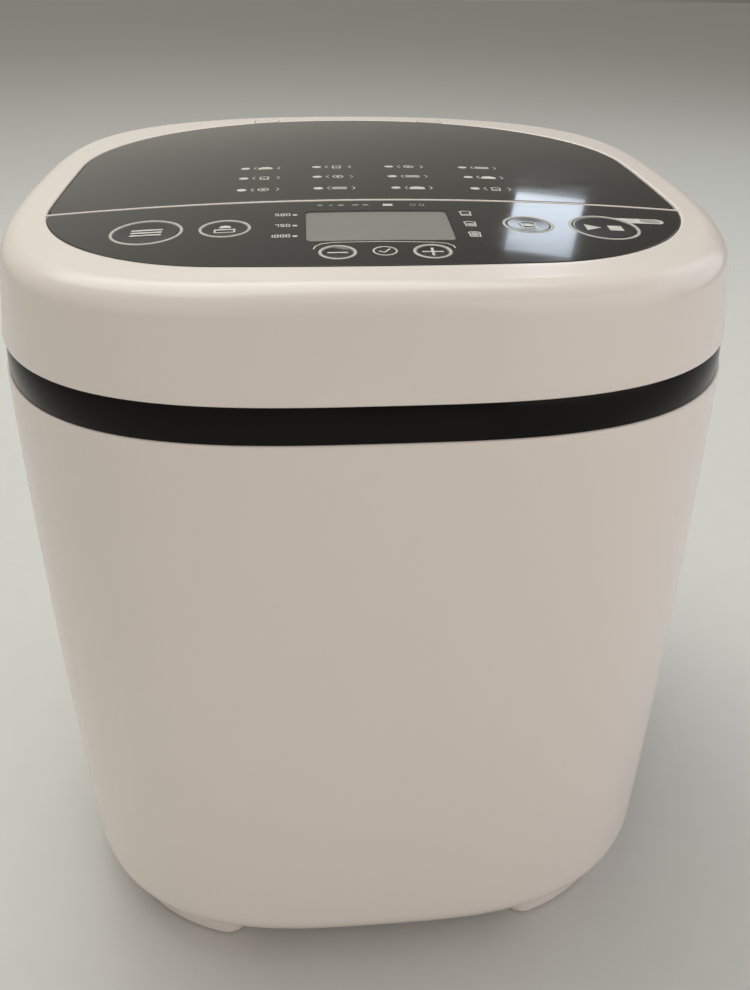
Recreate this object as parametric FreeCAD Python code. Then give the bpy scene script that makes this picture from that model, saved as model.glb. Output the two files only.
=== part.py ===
import FreeCAD, Part
import math
import os
from FreeCAD import Vector

# A bread machine: a barrel-shaped white housing with a black band, a white top ring, a domed
# glossy top made of a hinged lid and a fixed control fascia, and inside it the oven, the
# lift-out pan with its bail and paddle, and the belt drive. Millimetres, +Z up, front towards
# -Y, +X to the right seen from the front, origin on the table under the middle of the housing.

OUT = Vector(0, 0, 1)
X_AXIS = Vector(1, 0, 0)
Y_AXIS = Vector(0, 1, 0)

# ---------------------------------------------------------------- housing
HALF_WIDTH = 143.5          # at the lower edge of the band, the widest level
HALF_DEPTH = 158.0
BASE_HALF_WIDTH = 131.6     # just above the bottom edge radius
BASE_HALF_DEPTH = 149.8
PLAN_POWER = 3.13           # superellipse exponent of every level of the body
TOP_PLAN_POWER = 3.5        # the top ring is a little squarer
BARREL_BOW = 0.48           # how early the wall swells between bottom and band
BASE_Z = 10.0               # underside
BASE_RADIUS = 15.7          # bottom edge radius
BAND_LOW = 244.9
BAND_HIGH = 258.3
BAND_RECESS = 0.7
WALL = 2.6
RING_SLOPE = 0.1326         # inward lean of the top ring's wall
RING_EDGE_RADIUS = 9.0
DOME_RADIUS = 1700.0        # the top of lid, fascia and ring is one shallow sphere
DOME_TOP = 303.2
DOME_Y = 12.0

# ---------------------------------------------------------------- top opening
OPENING_HALF_WIDTH = 121.0
OPENING_FRONT = -133.0
OPENING_REAR = 124.0
FRONT_ARC = 470.0
FRONT_CORNER = 75.0
REAR_ARC = 200.0
REAR_CORNER = 110.0
SEAM_Y = -63.8              # line between lid and fascia, on the centre line
SEAM_RADIUS = 2400.0        # it bows to the rear in the middle
RIB_HALF = 0.6              # half the width of the white rib that shows in the seam
LID_GAP = 1.0
FASCIA_GAP = 0.25
COLLAR = 2.0
COLLAR_LOW = 262.0

# ---------------------------------------------------------------- lid and hinge
PANEL_THICK = 2.2
LID_FRAME_THICK = 2.6
LID_SKIRT_LOW = 284.0
HINGE_Y = 129.0
HINGE_Z = 296.5
HINGE_X = 44.0
KNUCKLE_LENGTH = 12.0
KNUCKLE_RADIUS = 2.4
HINGE_PIN_RADIUS = 1.2
RUNNING = 0.05              # radial running clearance of every shaft and pin

# ---------------------------------------------------------------- controls: x, y, bezel radius
BUTTONS = {
    "menu_button": (-80.4, -94.1, 12.8),
    "weight_button": (-53.2, -94.0, 9.2),
    "minus_button": (-14.6, -120.6, 6.5),
    "plus_button": (17.2, -120.6, 6.7),
    "crust_button": (55.3, -92.3, 9.4),
    "start_button": (83.5, -93.0, 13.2),
}
BEZEL_WIDTH = 1.2
BUTTON_GAP = 0.15
BUTTON_TRAVEL = 1.0
BUTTON_THICK = 3.2
BOARD_Z = 284.0
BOARD_THICK = 1.6
SWITCH_HEIGHT = 3.5
DISPLAY = (1.0, -93.6, 52.0, 32.4)      # centre x, y, width, depth
LIGHT = (103.5, -83.6, 8.0, 3.6)        # start light: centre x, y, length, width

# ---------------------------------------------------------------- oven and pan
OVEN_Y = 18.0
OVEN_HALF_WIDTH = 92.0
OVEN_HALF_DEPTH = 74.0
OVEN_CORNER = 40.0
OVEN_FLOOR = 80.0
OVEN_SHEET = 0.8
PAN_HALF_WIDTH = 79.0
PAN_HALF_DEPTH = 61.0
PAN_CORNER = 26.0
PAN_TAPER = 4.0
PAN_SHEET = 1.4
PAN_FLOOR = 100.0
PAN_TOP = 232.0
PAN_LIP = 3.5
BAIL_Z = 235.2
BAIL_WIRE = 2.4             # radius of the wire
BAIL_REACH = 52.0           # from its pivots to its grip
BAIL_CORNER = 26.0
BAIL_TURN = 3.5             # straight stretch behind each pivot
EAR_SHEET = 1.6
EAR_HALF = 9.0
PADDLE_LOW = 104.6
PADDLE_TOP = 134.0
BLADE_HALF = 2.2

# ---------------------------------------------------------------- drive
SHAFT_RADIUS = 5.0
PADDLE_SHAFT_RADIUS = 4.0
MOTOR_Y = -100.0
MOTOR_RADIUS = 30.0
MOTOR_SHAFT_RADIUS = 3.0
PULLEY_LOW = 22.0
PULLEY_HIGH = 34.0
BIG_PULLEY = 36.0
SMALL_PULLEY = 8.0
BELT_THICK = 2.0
BELT_LOW = 24.5
BELT_HIGH = 31.5

NODES = {}


def node(name, *solids):
    """Keep one sub-part: one solid, or a group of separate solids."""
    kept = []
    for shape in solids:
        kept.extend(shape.Solids)
    NODES[name] = kept[0] if len(kept) == 1 else Part.makeCompound(kept)


# ---------------------------------------------------------------- plain shapes
def box(x0, x1, y0, y1, z0, z1):
    return Part.makeBox(x1 - x0, y1 - y0, z1 - z0, Vector(x0, y0, z0))


def side_box(side, near, far, y0, y1, z0, z1):
    """A box between two distances from the middle, on the right (1) or the left (-1)."""
    return box(min(side * near, side * far), max(side * near, side * far), y0, y1, z0, z1)


def rod(x, y, z0, z1, radius):
    return Part.makeCylinder(radius, z1 - z0, Vector(x, y, z0), OUT)


def tube(x, y, z0, z1, outer, inner):
    return rod(x, y, z0, z1, outer).cut(rod(x, y, z0 - 1, z1 + 1, inner))


def bar(start, axis, length, radius):
    return Part.makeCylinder(radius, length, start, axis)


def union(shapes):
    whole = shapes[0]
    for shape in shapes[1:]:
        whole = whole.fuse(shape)
    return whole.removeSplitter()


def prism(wire, height):
    return Part.Face(wire).extrude(Vector(0, 0, height))


def arc_between(centre, radius, start_deg, end_deg, z):
    points = []
    for part in (0.0, 0.5, 1.0):
        angle = math.radians(start_deg + (end_deg - start_deg) * part)
        points.append(Vector(centre[0] + radius * math.cos(angle),
                             centre[1] + radius * math.sin(angle), z))
    return Part.Arc(*points).toShape()


def rounded_box(cx, cy, half_x, half_y, corner, z0, z1):
    block = box(cx - half_x, cx + half_x, cy - half_y, cy + half_y, z0, z1)
    upright = [edge for edge in block.Edges if abs(edge.tangentAt(edge.FirstParameter).z) > 0.9]
    return block.makeFillet(corner, upright)


def rounded_wire(cx, cy, half_x, half_y, corner, z):
    """A rounded rectangle as straight runs and corner arcs."""
    corners = [(1, 1, 0), (-1, 1, 90), (-1, -1, 180), (1, -1, 270)]
    edges = []
    for side_x, side_y, start in corners:
        centre = (cx + side_x * (half_x - corner), cy + side_y * (half_y - corner))
        edges.append(arc_between(centre, corner, start, start + 90, z))
    joined = []
    for here, following in zip(edges, edges[1:] + edges[:1]):
        joined.append(here)
        first = here.Vertexes[-1].Point
        second = following.Vertexes[0].Point
        joined.append(Part.makeLine(first, second))
    return Part.Wire(joined)


# ---------------------------------------------------------------- housing surfaces
def oval(half_x, half_y, power, z):
    """A level of the housing: a superellipse as one closed curve."""
    points = []
    for step in range(48):
        angle = math.radians(7.5 * step)
        c = abs(math.cos(angle)) / half_x
        s = abs(math.sin(angle)) / half_y
        reach = (c ** power + s ** power) ** (-1 / power)
        points.append(Vector(reach * math.cos(angle), reach * math.sin(angle), z))
    curve = Part.BSplineCurve()
    curve.interpolate(points, PeriodicFlag=True)
    return Part.Wire(curve.toShape())


def barrel_level(z, inset):
    """The body wall at height z, moved inwards by inset."""
    low = BASE_Z + BASE_RADIUS
    part = (z - low) / (BAND_LOW - low)
    swell = part + BARREL_BOW * part * (1 - part)
    half_x = BASE_HALF_WIDTH + (HALF_WIDTH - BASE_HALF_WIDTH) * swell
    half_y = BASE_HALF_DEPTH + (HALF_DEPTH - BASE_HALF_DEPTH) * swell
    return oval(half_x - inset, half_y - inset, PLAN_POWER, z)


def barrel(inset, floor, spare):
    """The body's outer form, or its inner form when inset is the wall, open upwards by spare."""
    radius = BASE_RADIUS - inset
    levels = []
    for step in range(6):
        angle = math.radians(18 * step)
        z = floor + radius * (1 - math.cos(angle))
        pull = radius * (1 - math.sin(angle))
        levels.append(oval(BASE_HALF_WIDTH - inset - pull, BASE_HALF_DEPTH - inset - pull, PLAN_POWER, z))
    low = BASE_Z + BASE_RADIUS
    for step in range(1, 9):
        levels.append(barrel_level(low + (BAND_LOW + spare - low) * step / 8, inset))
    return Part.makeLoft(levels, True, True)


def dome(drop):
    """The ball whose top is the machine's domed top, lowered by drop."""
    return Part.makeSphere(DOME_RADIUS - drop, Vector(0, DOME_Y, DOME_TOP - DOME_RADIUS))


def dome_z(x, y):
    return DOME_TOP - DOME_RADIUS + math.sqrt(DOME_RADIUS ** 2 - x ** 2 - (y - DOME_Y) ** 2)


def ring_form(inset, edge_radius):
    """The top ring's outer form, domed and rounded over; inset gives its inner form."""
    levels = []
    for part in (0.0, 0.5, 1.0):
        z = BAND_HIGH + (DOME_TOP + 3 - BAND_HIGH) * part
        lean = RING_SLOPE * (z - BAND_HIGH) + inset
        power = PLAN_POWER + (TOP_PLAN_POWER - PLAN_POWER) * part
        levels.append(oval(HALF_WIDTH - lean, HALF_DEPTH - lean, power, z))
    form = Part.makeLoft(levels, True, True).common(dome(inset)).Solids[0]
    rim = [edge for edge in form.Edges if edge.BoundBox.ZMin > DOME_TOP - 15 and edge.Length > 400]
    return form.makeFillet(edge_radius, rim)


def opening_wire(inset, z):
    """The outline of the whole glossy top: lines and tangent arcs, moved inwards by inset."""
    front_x = OPENING_HALF_WIDTH - FRONT_CORNER
    front_centre = OPENING_FRONT + FRONT_ARC
    front_y = front_centre - math.sqrt((FRONT_ARC - FRONT_CORNER) ** 2 - front_x ** 2)
    rear_x = OPENING_HALF_WIDTH - REAR_CORNER
    rear_centre = OPENING_REAR - REAR_ARC
    rear_y = rear_centre + math.sqrt((REAR_ARC - REAR_CORNER) ** 2 - rear_x ** 2)
    front_deg = math.degrees(math.atan2(front_centre - front_y, front_x))
    rear_deg = math.degrees(math.atan2(rear_y - rear_centre, rear_x))
    side = OPENING_HALF_WIDTH - inset
    return Part.Wire([
        Part.makeLine(Vector(side, front_y, z), Vector(side, rear_y, z)),
        arc_between((rear_x, rear_y), REAR_CORNER - inset, 0, rear_deg, z),
        arc_between((0, rear_centre), REAR_ARC - inset, rear_deg, 180 - rear_deg, z),
        arc_between((-rear_x, rear_y), REAR_CORNER - inset, 180 - rear_deg, 180, z),
        Part.makeLine(Vector(-side, rear_y, z), Vector(-side, front_y, z)),
        arc_between((-front_x, front_y), FRONT_CORNER - inset, 180, 180 + front_deg, z),
        arc_between((0, front_centre), FRONT_ARC - inset, 180 + front_deg, 360 - front_deg, z),
        arc_between((front_x, front_y), FRONT_CORNER - inset, 360 - front_deg, 360, z),
    ])


def seam_side(offset):
    """Everything in front of the seam line moved rearwards by offset."""
    return rod(0, SEAM_Y - SEAM_RADIUS, 200, 340, SEAM_RADIUS + offset)


def lid_block(inset, low, high):
    """The lid's plan, moved inwards by inset from the hole it lies in."""
    return prism(opening_wire(inset, low), high - low).cut(seam_side(RIB_HALF + inset))


def fascia_block(inset, low, high):
    return prism(opening_wire(inset, low), high - low).common(seam_side(-RIB_HALF - inset))


# ---------------------------------------------------------------- body
FOOT_HALF = (123.0, 140.0)              # outer half sizes of the ring that the feet are cut from
FOOT_WIDTH = 16.0
FOOT_INNER = (FOOT_HALF[0] - FOOT_WIDTH, FOOT_HALF[1] - FOOT_WIDTH)
FOOT_FROM = (58.0, 72.0)                # each foot lies beyond these x and y
FOOT_LOW = 1.0
FOOT_HEIGHT = 12.0
FOOT_END_RADIUS = 5.0
PAD_RADIUS = 5.5
FOOT_PADS = [(sx * 92, sy * 108) for sx in (-1, 1) for sy in (-1, 1)]
BOTTOM_HOLE = (106.0, 123.0)            # half sizes of the opening that the base plate closes
PLATE_HALF = (115.0, 132.0)
PLATE_THICK = 2.4
BASE_SCREWS = [(sx * 110, sy * 40) for sx in (-1, 1) for sy in (-1, 1)]
SCREW_RADIUS = 1.9
SCREW_HEAD = (3.4, 1.4)                 # radius and height
SCREW_TIP = 22.0
INTAKE = (-118.0, -92.0)                # y limits of the base plate's air slots
INTAKE_HALF = 2.0
INTAKE_PITCH = 12.0
VENT = (-46.0, 46.0, 62.0, 112.0)       # x and z limits of the rear vent insert
VENT_GAP = 0.2
VENT_ROWS = 9
VENT_PITCH = 5.0
VENT_SLOT = 2.4
VENT_EDGE = 6.0
VENT_RIB_HALF = 2.0
GLAND = (62.0, 42.0)                    # x and z of the cord outlet
GLAND_HOLE = 7.0
GLAND_STEM = 6.9
GLAND_FLANGE = 10.0
GLAND_BORE = 3.75
GLAND_INSIDE = (133.0, 137.0)           # y limits of the inner and outer flanges
GLAND_OUTSIDE = (149.0, 152.0)
BAND_THICK = 3.0


def foot(side_x, side_y, outer):
    """A curved corner foot that follows the body's plan and dies into its underside."""
    ring = prism(oval(*FOOT_HALF, PLAN_POWER, FOOT_LOW), FOOT_HEIGHT)
    ring = ring.cut(prism(oval(*FOOT_INNER, PLAN_POWER, FOOT_LOW - 1), FOOT_HEIGHT + 2))
    corner = ring.common(box(FOOT_FROM[0], HALF_WIDTH, FOOT_FROM[1], HALF_DEPTH, 0, 20))
    upright = [edge for edge in corner.Edges
               if edge.BoundBox.ZLength > FOOT_HEIGHT - 1 and edge.BoundBox.XLength < 0.01]
    corner = corner.makeFillet(FOOT_END_RADIUS, upright)
    if side_x < 0:
        corner = corner.mirror(Vector(0, 0, 0), X_AXIS)
    if side_y < 0:
        corner = corner.mirror(Vector(0, 0, 0), Y_AXIS)
    return corner.cut(outer)


def build_body():
    outer = barrel(0, BASE_Z, 0)
    inner = barrel(WALL, BASE_Z + WALL, 1)
    shell = outer.cut(inner)
    shell = shell.cut(prism(oval(*BOTTOM_HOLE, PLAN_POWER, 0), BASE_Z + WALL + 0.5))
    for x, y in BASE_SCREWS:
        shell = shell.cut(rod(x, y, 0, SCREW_TIP, SCREW_RADIUS))
    x0, x1, z0, z1 = VENT
    vent_hole = box(x0, x1, 100, 170, z0, z1)
    node("rear_vent", vent_insert(shell))
    gland_x, gland_z = GLAND
    gland_hole = bar(Vector(gland_x, 120, gland_z), Y_AXIS, 50, GLAND_HOLE)
    node("body_shell", shell.cut(vent_hole).cut(gland_hole))
    node("cord_gland", gland())
    build_base(outer)

    band_x = HALF_WIDTH - BAND_RECESS
    band_y = HALF_DEPTH - BAND_RECESS
    band = prism(oval(band_x, band_y, PLAN_POWER, BAND_LOW), BAND_HIGH - BAND_LOW)
    hollow = prism(oval(band_x - BAND_THICK, band_y - BAND_THICK, PLAN_POWER, BAND_LOW - 1),
                   BAND_HIGH - BAND_LOW + 2)
    node("trim_band", band.cut(hollow))


def vent_insert(shell):
    """The slotted insert in the rear wall, cut from the wall's own shape."""
    x0, x1, z0, z1 = VENT
    vent = shell.common(box(x0 + VENT_GAP, x1 - VENT_GAP, 100, 170, z0 + VENT_GAP, z1 - VENT_GAP))
    for row in range(VENT_ROWS):
        z = z0 + VENT_PITCH * (row + 1)
        vent = vent.cut(box(x0 + VENT_EDGE, -VENT_RIB_HALF, 100, 170, z, z + VENT_SLOT))
        vent = vent.cut(box(VENT_RIB_HALF, x1 - VENT_EDGE, 100, 170, z, z + VENT_SLOT))
    return vent


def gland():
    """The outlet bush for the mains cord: a stem through the wall between two flanges."""
    x, z = GLAND
    inside_low, inside_high = GLAND_INSIDE
    outside_low, outside_high = GLAND_OUTSIDE
    stem = bar(Vector(x, inside_low + 1, z), Y_AXIS, outside_low - inside_low, GLAND_STEM)
    inside = bar(Vector(x, inside_low, z), Y_AXIS, inside_high - inside_low, GLAND_FLANGE)
    outside = bar(Vector(x, outside_low, z), Y_AXIS, outside_high - outside_low, GLAND_FLANGE)
    bore = bar(Vector(x, inside_low - 5, z), Y_AXIS, 30, GLAND_BORE)
    return union([stem, outside, inside]).cut(bore)


def build_base(outer):
    plate_low = BASE_Z + WALL
    plate = prism(oval(*PLATE_HALF, PLAN_POWER, plate_low), PLATE_THICK)
    for x, y in BASE_SCREWS:
        plate = plate.cut(rod(x, y, 0, 30, SCREW_RADIUS))
    for step in range(-4, 5):
        x = INTAKE_PITCH * step
        plate = plate.cut(box(x - INTAKE_HALF, x + INTAKE_HALF, *INTAKE, 0, 30))
    node("base_plate", plate)
    head_radius, head_height = SCREW_HEAD
    node("base_screws", *[union([rod(x, y, BASE_Z - head_height, BASE_Z, head_radius),
                                 rod(x, y, BASE_Z - 1, SCREW_TIP, SCREW_RADIUS)])
                          for x, y in BASE_SCREWS])
    node("feet", *[foot(side_x, side_y, outer) for side_x in (-1, 1) for side_y in (-1, 1)])
    node("foot_pads", *[rod(x, y, 0, FOOT_LOW, PAD_RADIUS) for x, y in FOOT_PADS])


POCKET_HALF = 14.0                      # solid block round each knuckle's notch
POCKET_LOW = 290.0
NOTCH_LOW = 293.0
NOTCH_FRONT = 110.0
PIN_LENGTH = 24.0
DECK_THICK = 2.5
DECK_REACH = 8.0                        # how far the deck runs under the ring
DECK_FRONT = 4.0                        # how far it stops behind the seam
OVEN_GAP = 1.2                          # from the deck's mouth to the oven's inside


def build_top():
    form = ring_form(0, RING_EDGE_RADIUS)
    hollow = ring_form(WALL, RING_EDGE_RADIUS - WALL)
    skin = form.cut(hollow)
    collar = prism(opening_wire(-COLLAR, COLLAR_LOW), 50).common(form)
    blocks = [skin, collar]
    for side in (-1, 1):
        x = side * HINGE_X
        blocks.append(box(x - POCKET_HALF, x + POCKET_HALF, NOTCH_FRONT, HINGE_Y + 5.5,
                          POCKET_LOW, DOME_TOP).common(form))
    ring = union(blocks)
    ring = ring.cut(lid_block(0, 200, 320))
    ring = ring.cut(fascia_block(0, 200, 320))
    half = KNUCKLE_LENGTH / 2 + 0.5
    pins = []
    for side in (-1, 1):
        x = side * HINGE_X
        ring = ring.cut(box(x - half, x + half, NOTCH_FRONT, HINGE_Y + KNUCKLE_RADIUS + 0.6,
                            NOTCH_LOW, 310))
        start = Vector(x - PIN_LENGTH / 2, HINGE_Y, HINGE_Z)
        ring = ring.cut(bar(start, X_AXIS, PIN_LENGTH, HINGE_PIN_RADIUS))
        pins.append(bar(start, X_AXIS, PIN_LENGTH, HINGE_PIN_RADIUS))
    node("top_ring", ring)
    node("hinge_pins", *pins)

    deck = prism(opening_wire(-DECK_REACH, COLLAR_LOW - DECK_THICK), DECK_THICK)
    deck = deck.cut(seam_side(-DECK_FRONT))
    mouth = rounded_box(0, OVEN_Y, OVEN_HALF_WIDTH + OVEN_GAP, OVEN_HALF_DEPTH + OVEN_GAP,
                        OVEN_CORNER + OVEN_GAP, 250, 270)
    node("oven_deck", deck.cut(mouth))


# ---------------------------------------------------------------- lid
SKIRT_GAP = 0.3                         # the skirt stands this far inside the panel's edge
SKIRT_THICK = 2.2
LINER_LOW = 266.0                       # underside of the liner's dish
LINER_SHEET = 0.8
LINER_FLANGE = 285.0                    # top of its flange
LINER_HALF = (88.0, 70.0)
LINER_CORNER = 36.0
FLANGE_INSET = 4.0
LID_SCREWS = [(-86, -40), (86, -40), (-70, 74), (70, 74)]
POST_RADIUS = 3.5
LID_SCREW_RADIUS = 1.4
LID_SCREW_HEAD = (3.0, 1.8)             # radius and height
ARM_FRONT = 113.0                       # each hinge arm runs from here to the hinge line
ARM_BELOW = 2.0
ARM_ABOVE = 0.4
ARM_GAP = 0.3                           # between the arm's visible top and the panel's edge


def build_lid():
    under_panel = dome(PANEL_THICK)
    whole = lid_block(LID_GAP, 250, 320)
    node("lid_panel", whole.common(dome(0)).cut(under_panel))

    bonded = dome(PANEL_THICK + 1)
    plate = whole.common(under_panel).cut(dome(PANEL_THICK + LID_FRAME_THICK))
    outer_gap = LID_GAP + SKIRT_GAP
    skirt = lid_block(outer_gap, LID_SKIRT_LOW, 320).cut(lid_block(outer_gap + SKIRT_THICK, 200, 330))
    pieces = [plate, skirt.common(bonded)]
    for x, y in LID_SCREWS:
        pieces.append(rod(x, y, LINER_FLANGE, 299, POST_RADIUS).common(bonded))
    frame = union(pieces)
    hinges = [hinge_arm(side) for side in (-1, 1)]
    for hinge in hinges:
        frame = frame.cut(hinge)
    node("lid_hinges", *hinges)
    for x, y in LID_SCREWS:
        frame = frame.cut(rod(x, y, 280, 292, LID_SCREW_RADIUS))
    node("lid_frame", frame)

    liner = union([liner_tub(0, LINER_LOW, LINER_FLANGE),
                   lid_block(LID_GAP + FLANGE_INSET, LINER_FLANGE - LINER_SHEET, LINER_FLANGE)])
    liner = liner.cut(liner_tub(LINER_SHEET, LINER_LOW + LINER_SHEET, 290))
    for x, y in LID_SCREWS:
        liner = liner.cut(rod(x, y, 283, 287, LID_SCREW_RADIUS + 0.2))
    node("lid_liner", liner)
    head_radius, head_height = LID_SCREW_HEAD
    head_top = LINER_FLANGE - LINER_SHEET
    node("lid_screws", *[union([rod(x, y, head_top - head_height, head_top, head_radius),
                                rod(x, y, head_top - 1, 291, LID_SCREW_RADIUS)])
                         for x, y in LID_SCREWS])


def hinge_arm(side):
    """A knuckle and its arm, level with the dome behind the panel and let into the frame under it."""
    x = side * HINGE_X - KNUCKLE_LENGTH / 2
    low = HINGE_Z - ARM_BELOW
    knuckle = bar(Vector(x, HINGE_Y, HINGE_Z), X_AXIS, KNUCKLE_LENGTH, KNUCKLE_RADIUS)
    tongue = box(x, x + KNUCKLE_LENGTH, ARM_FRONT, HINGE_Y, low, HINGE_Z + ARM_ABOVE)
    top = box(x, x + KNUCKLE_LENGTH, ARM_FRONT, HINGE_Y, low, DOME_TOP)
    top = top.cut(lid_block(LID_GAP - ARM_GAP, 200, 330))
    arm = union([knuckle, tongue, top]).common(dome(0))
    return arm.cut(bar(Vector(x - 1, HINGE_Y, HINGE_Z), X_AXIS, KNUCKLE_LENGTH + 2,
                       HINGE_PIN_RADIUS + RUNNING))


def liner_tub(inset, low, high):
    half_x, half_y = LINER_HALF
    return rounded_box(0, OVEN_Y, half_x - inset, half_y - inset, LINER_CORNER - inset, low, high)


# ---------------------------------------------------------------- controls
FASCIA_SKIRT_LOW = 287.0
FASCIA_POSTS = [(-104, -84), (104, -84), (-62, -119), (62, -119)]
POST_OF_FASCIA = 2.5
BEZEL_LOW = 292.5
STEM_RADIUS = 2.0
SWITCH_HALF = 3.0
SWITCH_BODY = 2.4
PLUNGER_RADIUS = 1.6
PRESS_GAP = 0.1                         # left between stem and plunger at the end of the travel
DISPLAY_GAP = 0.1
DISPLAY_CORNER = 2.2
LENS_DROP = (0.15, 1.8)                 # its two faces, below the dome
LCD = (-30.0, 32.0, -110.6, -76.6)      # x and y limits
LCD_TOP = 294.5
LIGHT_DEPTH = 3.2
BOARD_REACH = 108.0
BOARD_INSET = 6.0
BUZZER = (-76.0, -110.0, 6.0)           # x, y and radius


def build_controls():
    body = fascia_block(FASCIA_GAP, 250, 320)
    plate = body.common(dome(0)).cut(dome(LID_FRAME_THICK))
    skirt = fascia_block(FASCIA_GAP + 0.2, FASCIA_SKIRT_LOW, 320)
    skirt = skirt.cut(fascia_block(FASCIA_GAP + 1.8, 200, 330)).common(dome(1))
    posts = []
    for x, y in FASCIA_POSTS:
        posts.append(rod(x, y, BOARD_Z + BOARD_THICK, 300, POST_OF_FASCIA).common(dome(1)))
    fascia = union([plate, skirt] + posts)

    bezels = []
    switches = []
    for name, (x, y, radius) in BUTTONS.items():
        fascia = fascia.cut(rod(x, y, 290, 310, radius))
        ring = tube(x, y, BEZEL_LOW, 310, radius, radius - BEZEL_WIDTH)
        bezels.append(ring.common(dome(0)))
        cap_radius = radius - BEZEL_WIDTH - BUTTON_GAP
        top = dome_z(x, y)
        cap = rod(x, y, top - BUTTON_THICK, 310, cap_radius).common(dome(0.1))
        switch_top = BOARD_Z + BOARD_THICK + SWITCH_HEIGHT
        stem = rod(x, y, switch_top + BUTTON_TRAVEL + PRESS_GAP, top - 2, STEM_RADIUS)
        node(name, union([cap, stem]))
        base = BOARD_Z + BOARD_THICK
        switch = box(x - SWITCH_HALF, x + SWITCH_HALF, y - SWITCH_HALF, y + SWITCH_HALF,
                     base, base + SWITCH_BODY)
        switches.append(union([switch, rod(x, y, base, switch_top, PLUNGER_RADIUS)]))
    node("button_bezels", *bezels)
    node("tact_switches", *switches)

    cx, cy, width, depth = DISPLAY
    fascia = fascia.cut(rounded_box(cx, cy, width / 2, depth / 2, DISPLAY_CORNER, 290, 310))
    window = rounded_box(cx, cy, width / 2 - DISPLAY_GAP, depth / 2 - DISPLAY_GAP,
                         DISPLAY_CORNER - DISPLAY_GAP, 290, 310)
    node("display_window", window.common(dome(LENS_DROP[0])).cut(dome(LENS_DROP[1])))
    node("lcd_module", box(*LCD, BOARD_Z + BOARD_THICK, LCD_TOP))
    lx, ly, length, light_width = LIGHT
    light = rounded_box(lx, ly, length / 2, light_width / 2, light_width / 2 - 0.1, 290, 310)
    fascia = fascia.cut(light)
    node("indicator_light", light.common(dome(0)).cut(dome(LIGHT_DEPTH)))
    node("control_fascia", fascia)

    board = fascia_block(BOARD_INSET, BOARD_Z, BOARD_Z + BOARD_THICK)
    node("control_board", board.common(box(-BOARD_REACH, BOARD_REACH, -140, -60, 280, 290)))
    buzzer_x, buzzer_y, buzzer_radius = BUZZER
    node("buzzer", rod(buzzer_x, buzzer_y, BOARD_Z - 6, BOARD_Z, buzzer_radius))


# ---------------------------------------------------------------- oven
OVEN_FLANGE = 6.0
SHAFT_HOLE = 12.1                       # in the oven's floor
HEATER_Z = 112.0
HEATER_HALF = (86.0, 68.0)
HEATER_CORNER = 34.0
HEATER_RADIUS = 3.2
HEATER_LEAVES = 24.0                    # x at which its ends go through the front wall
HEATER_BEND = 4.0
HEATER_END = 14.0                       # how far its ends stand out in front of the loop
CLIP_HALF = (4.0, 5.0)                  # half depth and half height
CLIP_REACH = 10.0
PROBE_Z = 150.0
PROBE_RADIUS = 3.0
PROBE_TIP = 6.0                         # how far it reaches into the oven
FUSE_X = 50.0
FUSE_LENGTH = 22.0
LATCH_X = 47.0
LATCH_HALF = 8.0
LATCH_TOP = 93.0
LATCH_TOE = 10.0
SHIELD_HALF = (106.0, 88.0)
SHIELD_CORNER = 50.0
SHIELD_SHEET = 0.8
SHIELD_Z = (86.0, 250.0)


def build_oven():
    top = COLLAR_LOW + OVEN_SHEET
    outer = oven_form(OVEN_SHEET, OVEN_FLOOR - OVEN_SHEET, top)
    oven = union([outer, oven_form(OVEN_FLANGE, COLLAR_LOW, top)]).cut(oven_form(0, OVEN_FLOOR, 300))
    oven = oven.cut(rod(0, OVEN_Y, 70, 90, SHAFT_HOLE))
    for side in (-1, 1):
        start = Vector(side * HEATER_LEAVES, -40, HEATER_Z)
        oven = oven.cut(bar(start, Y_AXIS * -1, 30, HEATER_RADIUS + 0.2))
    node("oven_chamber", oven.cut(bar(Vector(0, -40, PROBE_Z), Y_AXIS * -1, 30, PROBE_RADIUS + 0.1)))

    front = OVEN_Y - OVEN_HALF_DEPTH
    tip = bar(Vector(0, front + PROBE_TIP, PROBE_Z), Y_AXIS * -1, 20, PROBE_RADIUS)
    nut = bar(Vector(0, front - OVEN_SHEET, PROBE_Z), Y_AXIS * -1, 4, 2 * PROBE_RADIUS)
    node("temperature_probe", union([tip, nut]))
    node("thermal_fuse", bar(Vector(FUSE_X, front - OVEN_SHEET - PROBE_RADIUS, PROBE_Z), X_AXIS,
                             FUSE_LENGTH, PROBE_RADIUS))
    node("heating_element", heater())

    clips = []
    latches = []
    half_y, half_z = CLIP_HALF
    for side in (-1, 1):
        clip = side_box(side, OVEN_HALF_WIDTH - CLIP_REACH, OVEN_HALF_WIDTH, OVEN_Y - half_y,
                        OVEN_Y + half_y, HEATER_Z - half_z, HEATER_Z + half_z)
        seat = bar(Vector(side * HEATER_HALF[0], OVEN_Y - 10, HEATER_Z), Y_AXIS, 20, HEATER_RADIUS + RUNNING)
        clips.append(clip.cut(seat))
        low_y = OVEN_Y - LATCH_HALF
        high_y = OVEN_Y + LATCH_HALF
        blade = side_box(side, LATCH_X - 1, LATCH_X + 1, low_y, high_y, OVEN_FLOOR, LATCH_TOP)
        toe = side_box(side, LATCH_X, LATCH_X + LATCH_TOE, low_y, high_y, OVEN_FLOOR, OVEN_FLOOR + 1.2)
        latches.append(union([blade, toe]))
    node("element_clips", *clips)
    node("pan_latches", *latches)

    half_x, half_y = SHIELD_HALF
    low, high = SHIELD_Z
    shield = rounded_box(0, OVEN_Y, half_x, half_y, SHIELD_CORNER, low, high)
    shield = shield.cut(rounded_box(0, OVEN_Y, half_x - SHIELD_SHEET, half_y - SHIELD_SHEET,
                                    SHIELD_CORNER - SHIELD_SHEET, low - 5, high + 5))
    node("heat_shield", shield.cut(box(-120, 120, -90, -20, low - 5, high + 5)))


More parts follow.
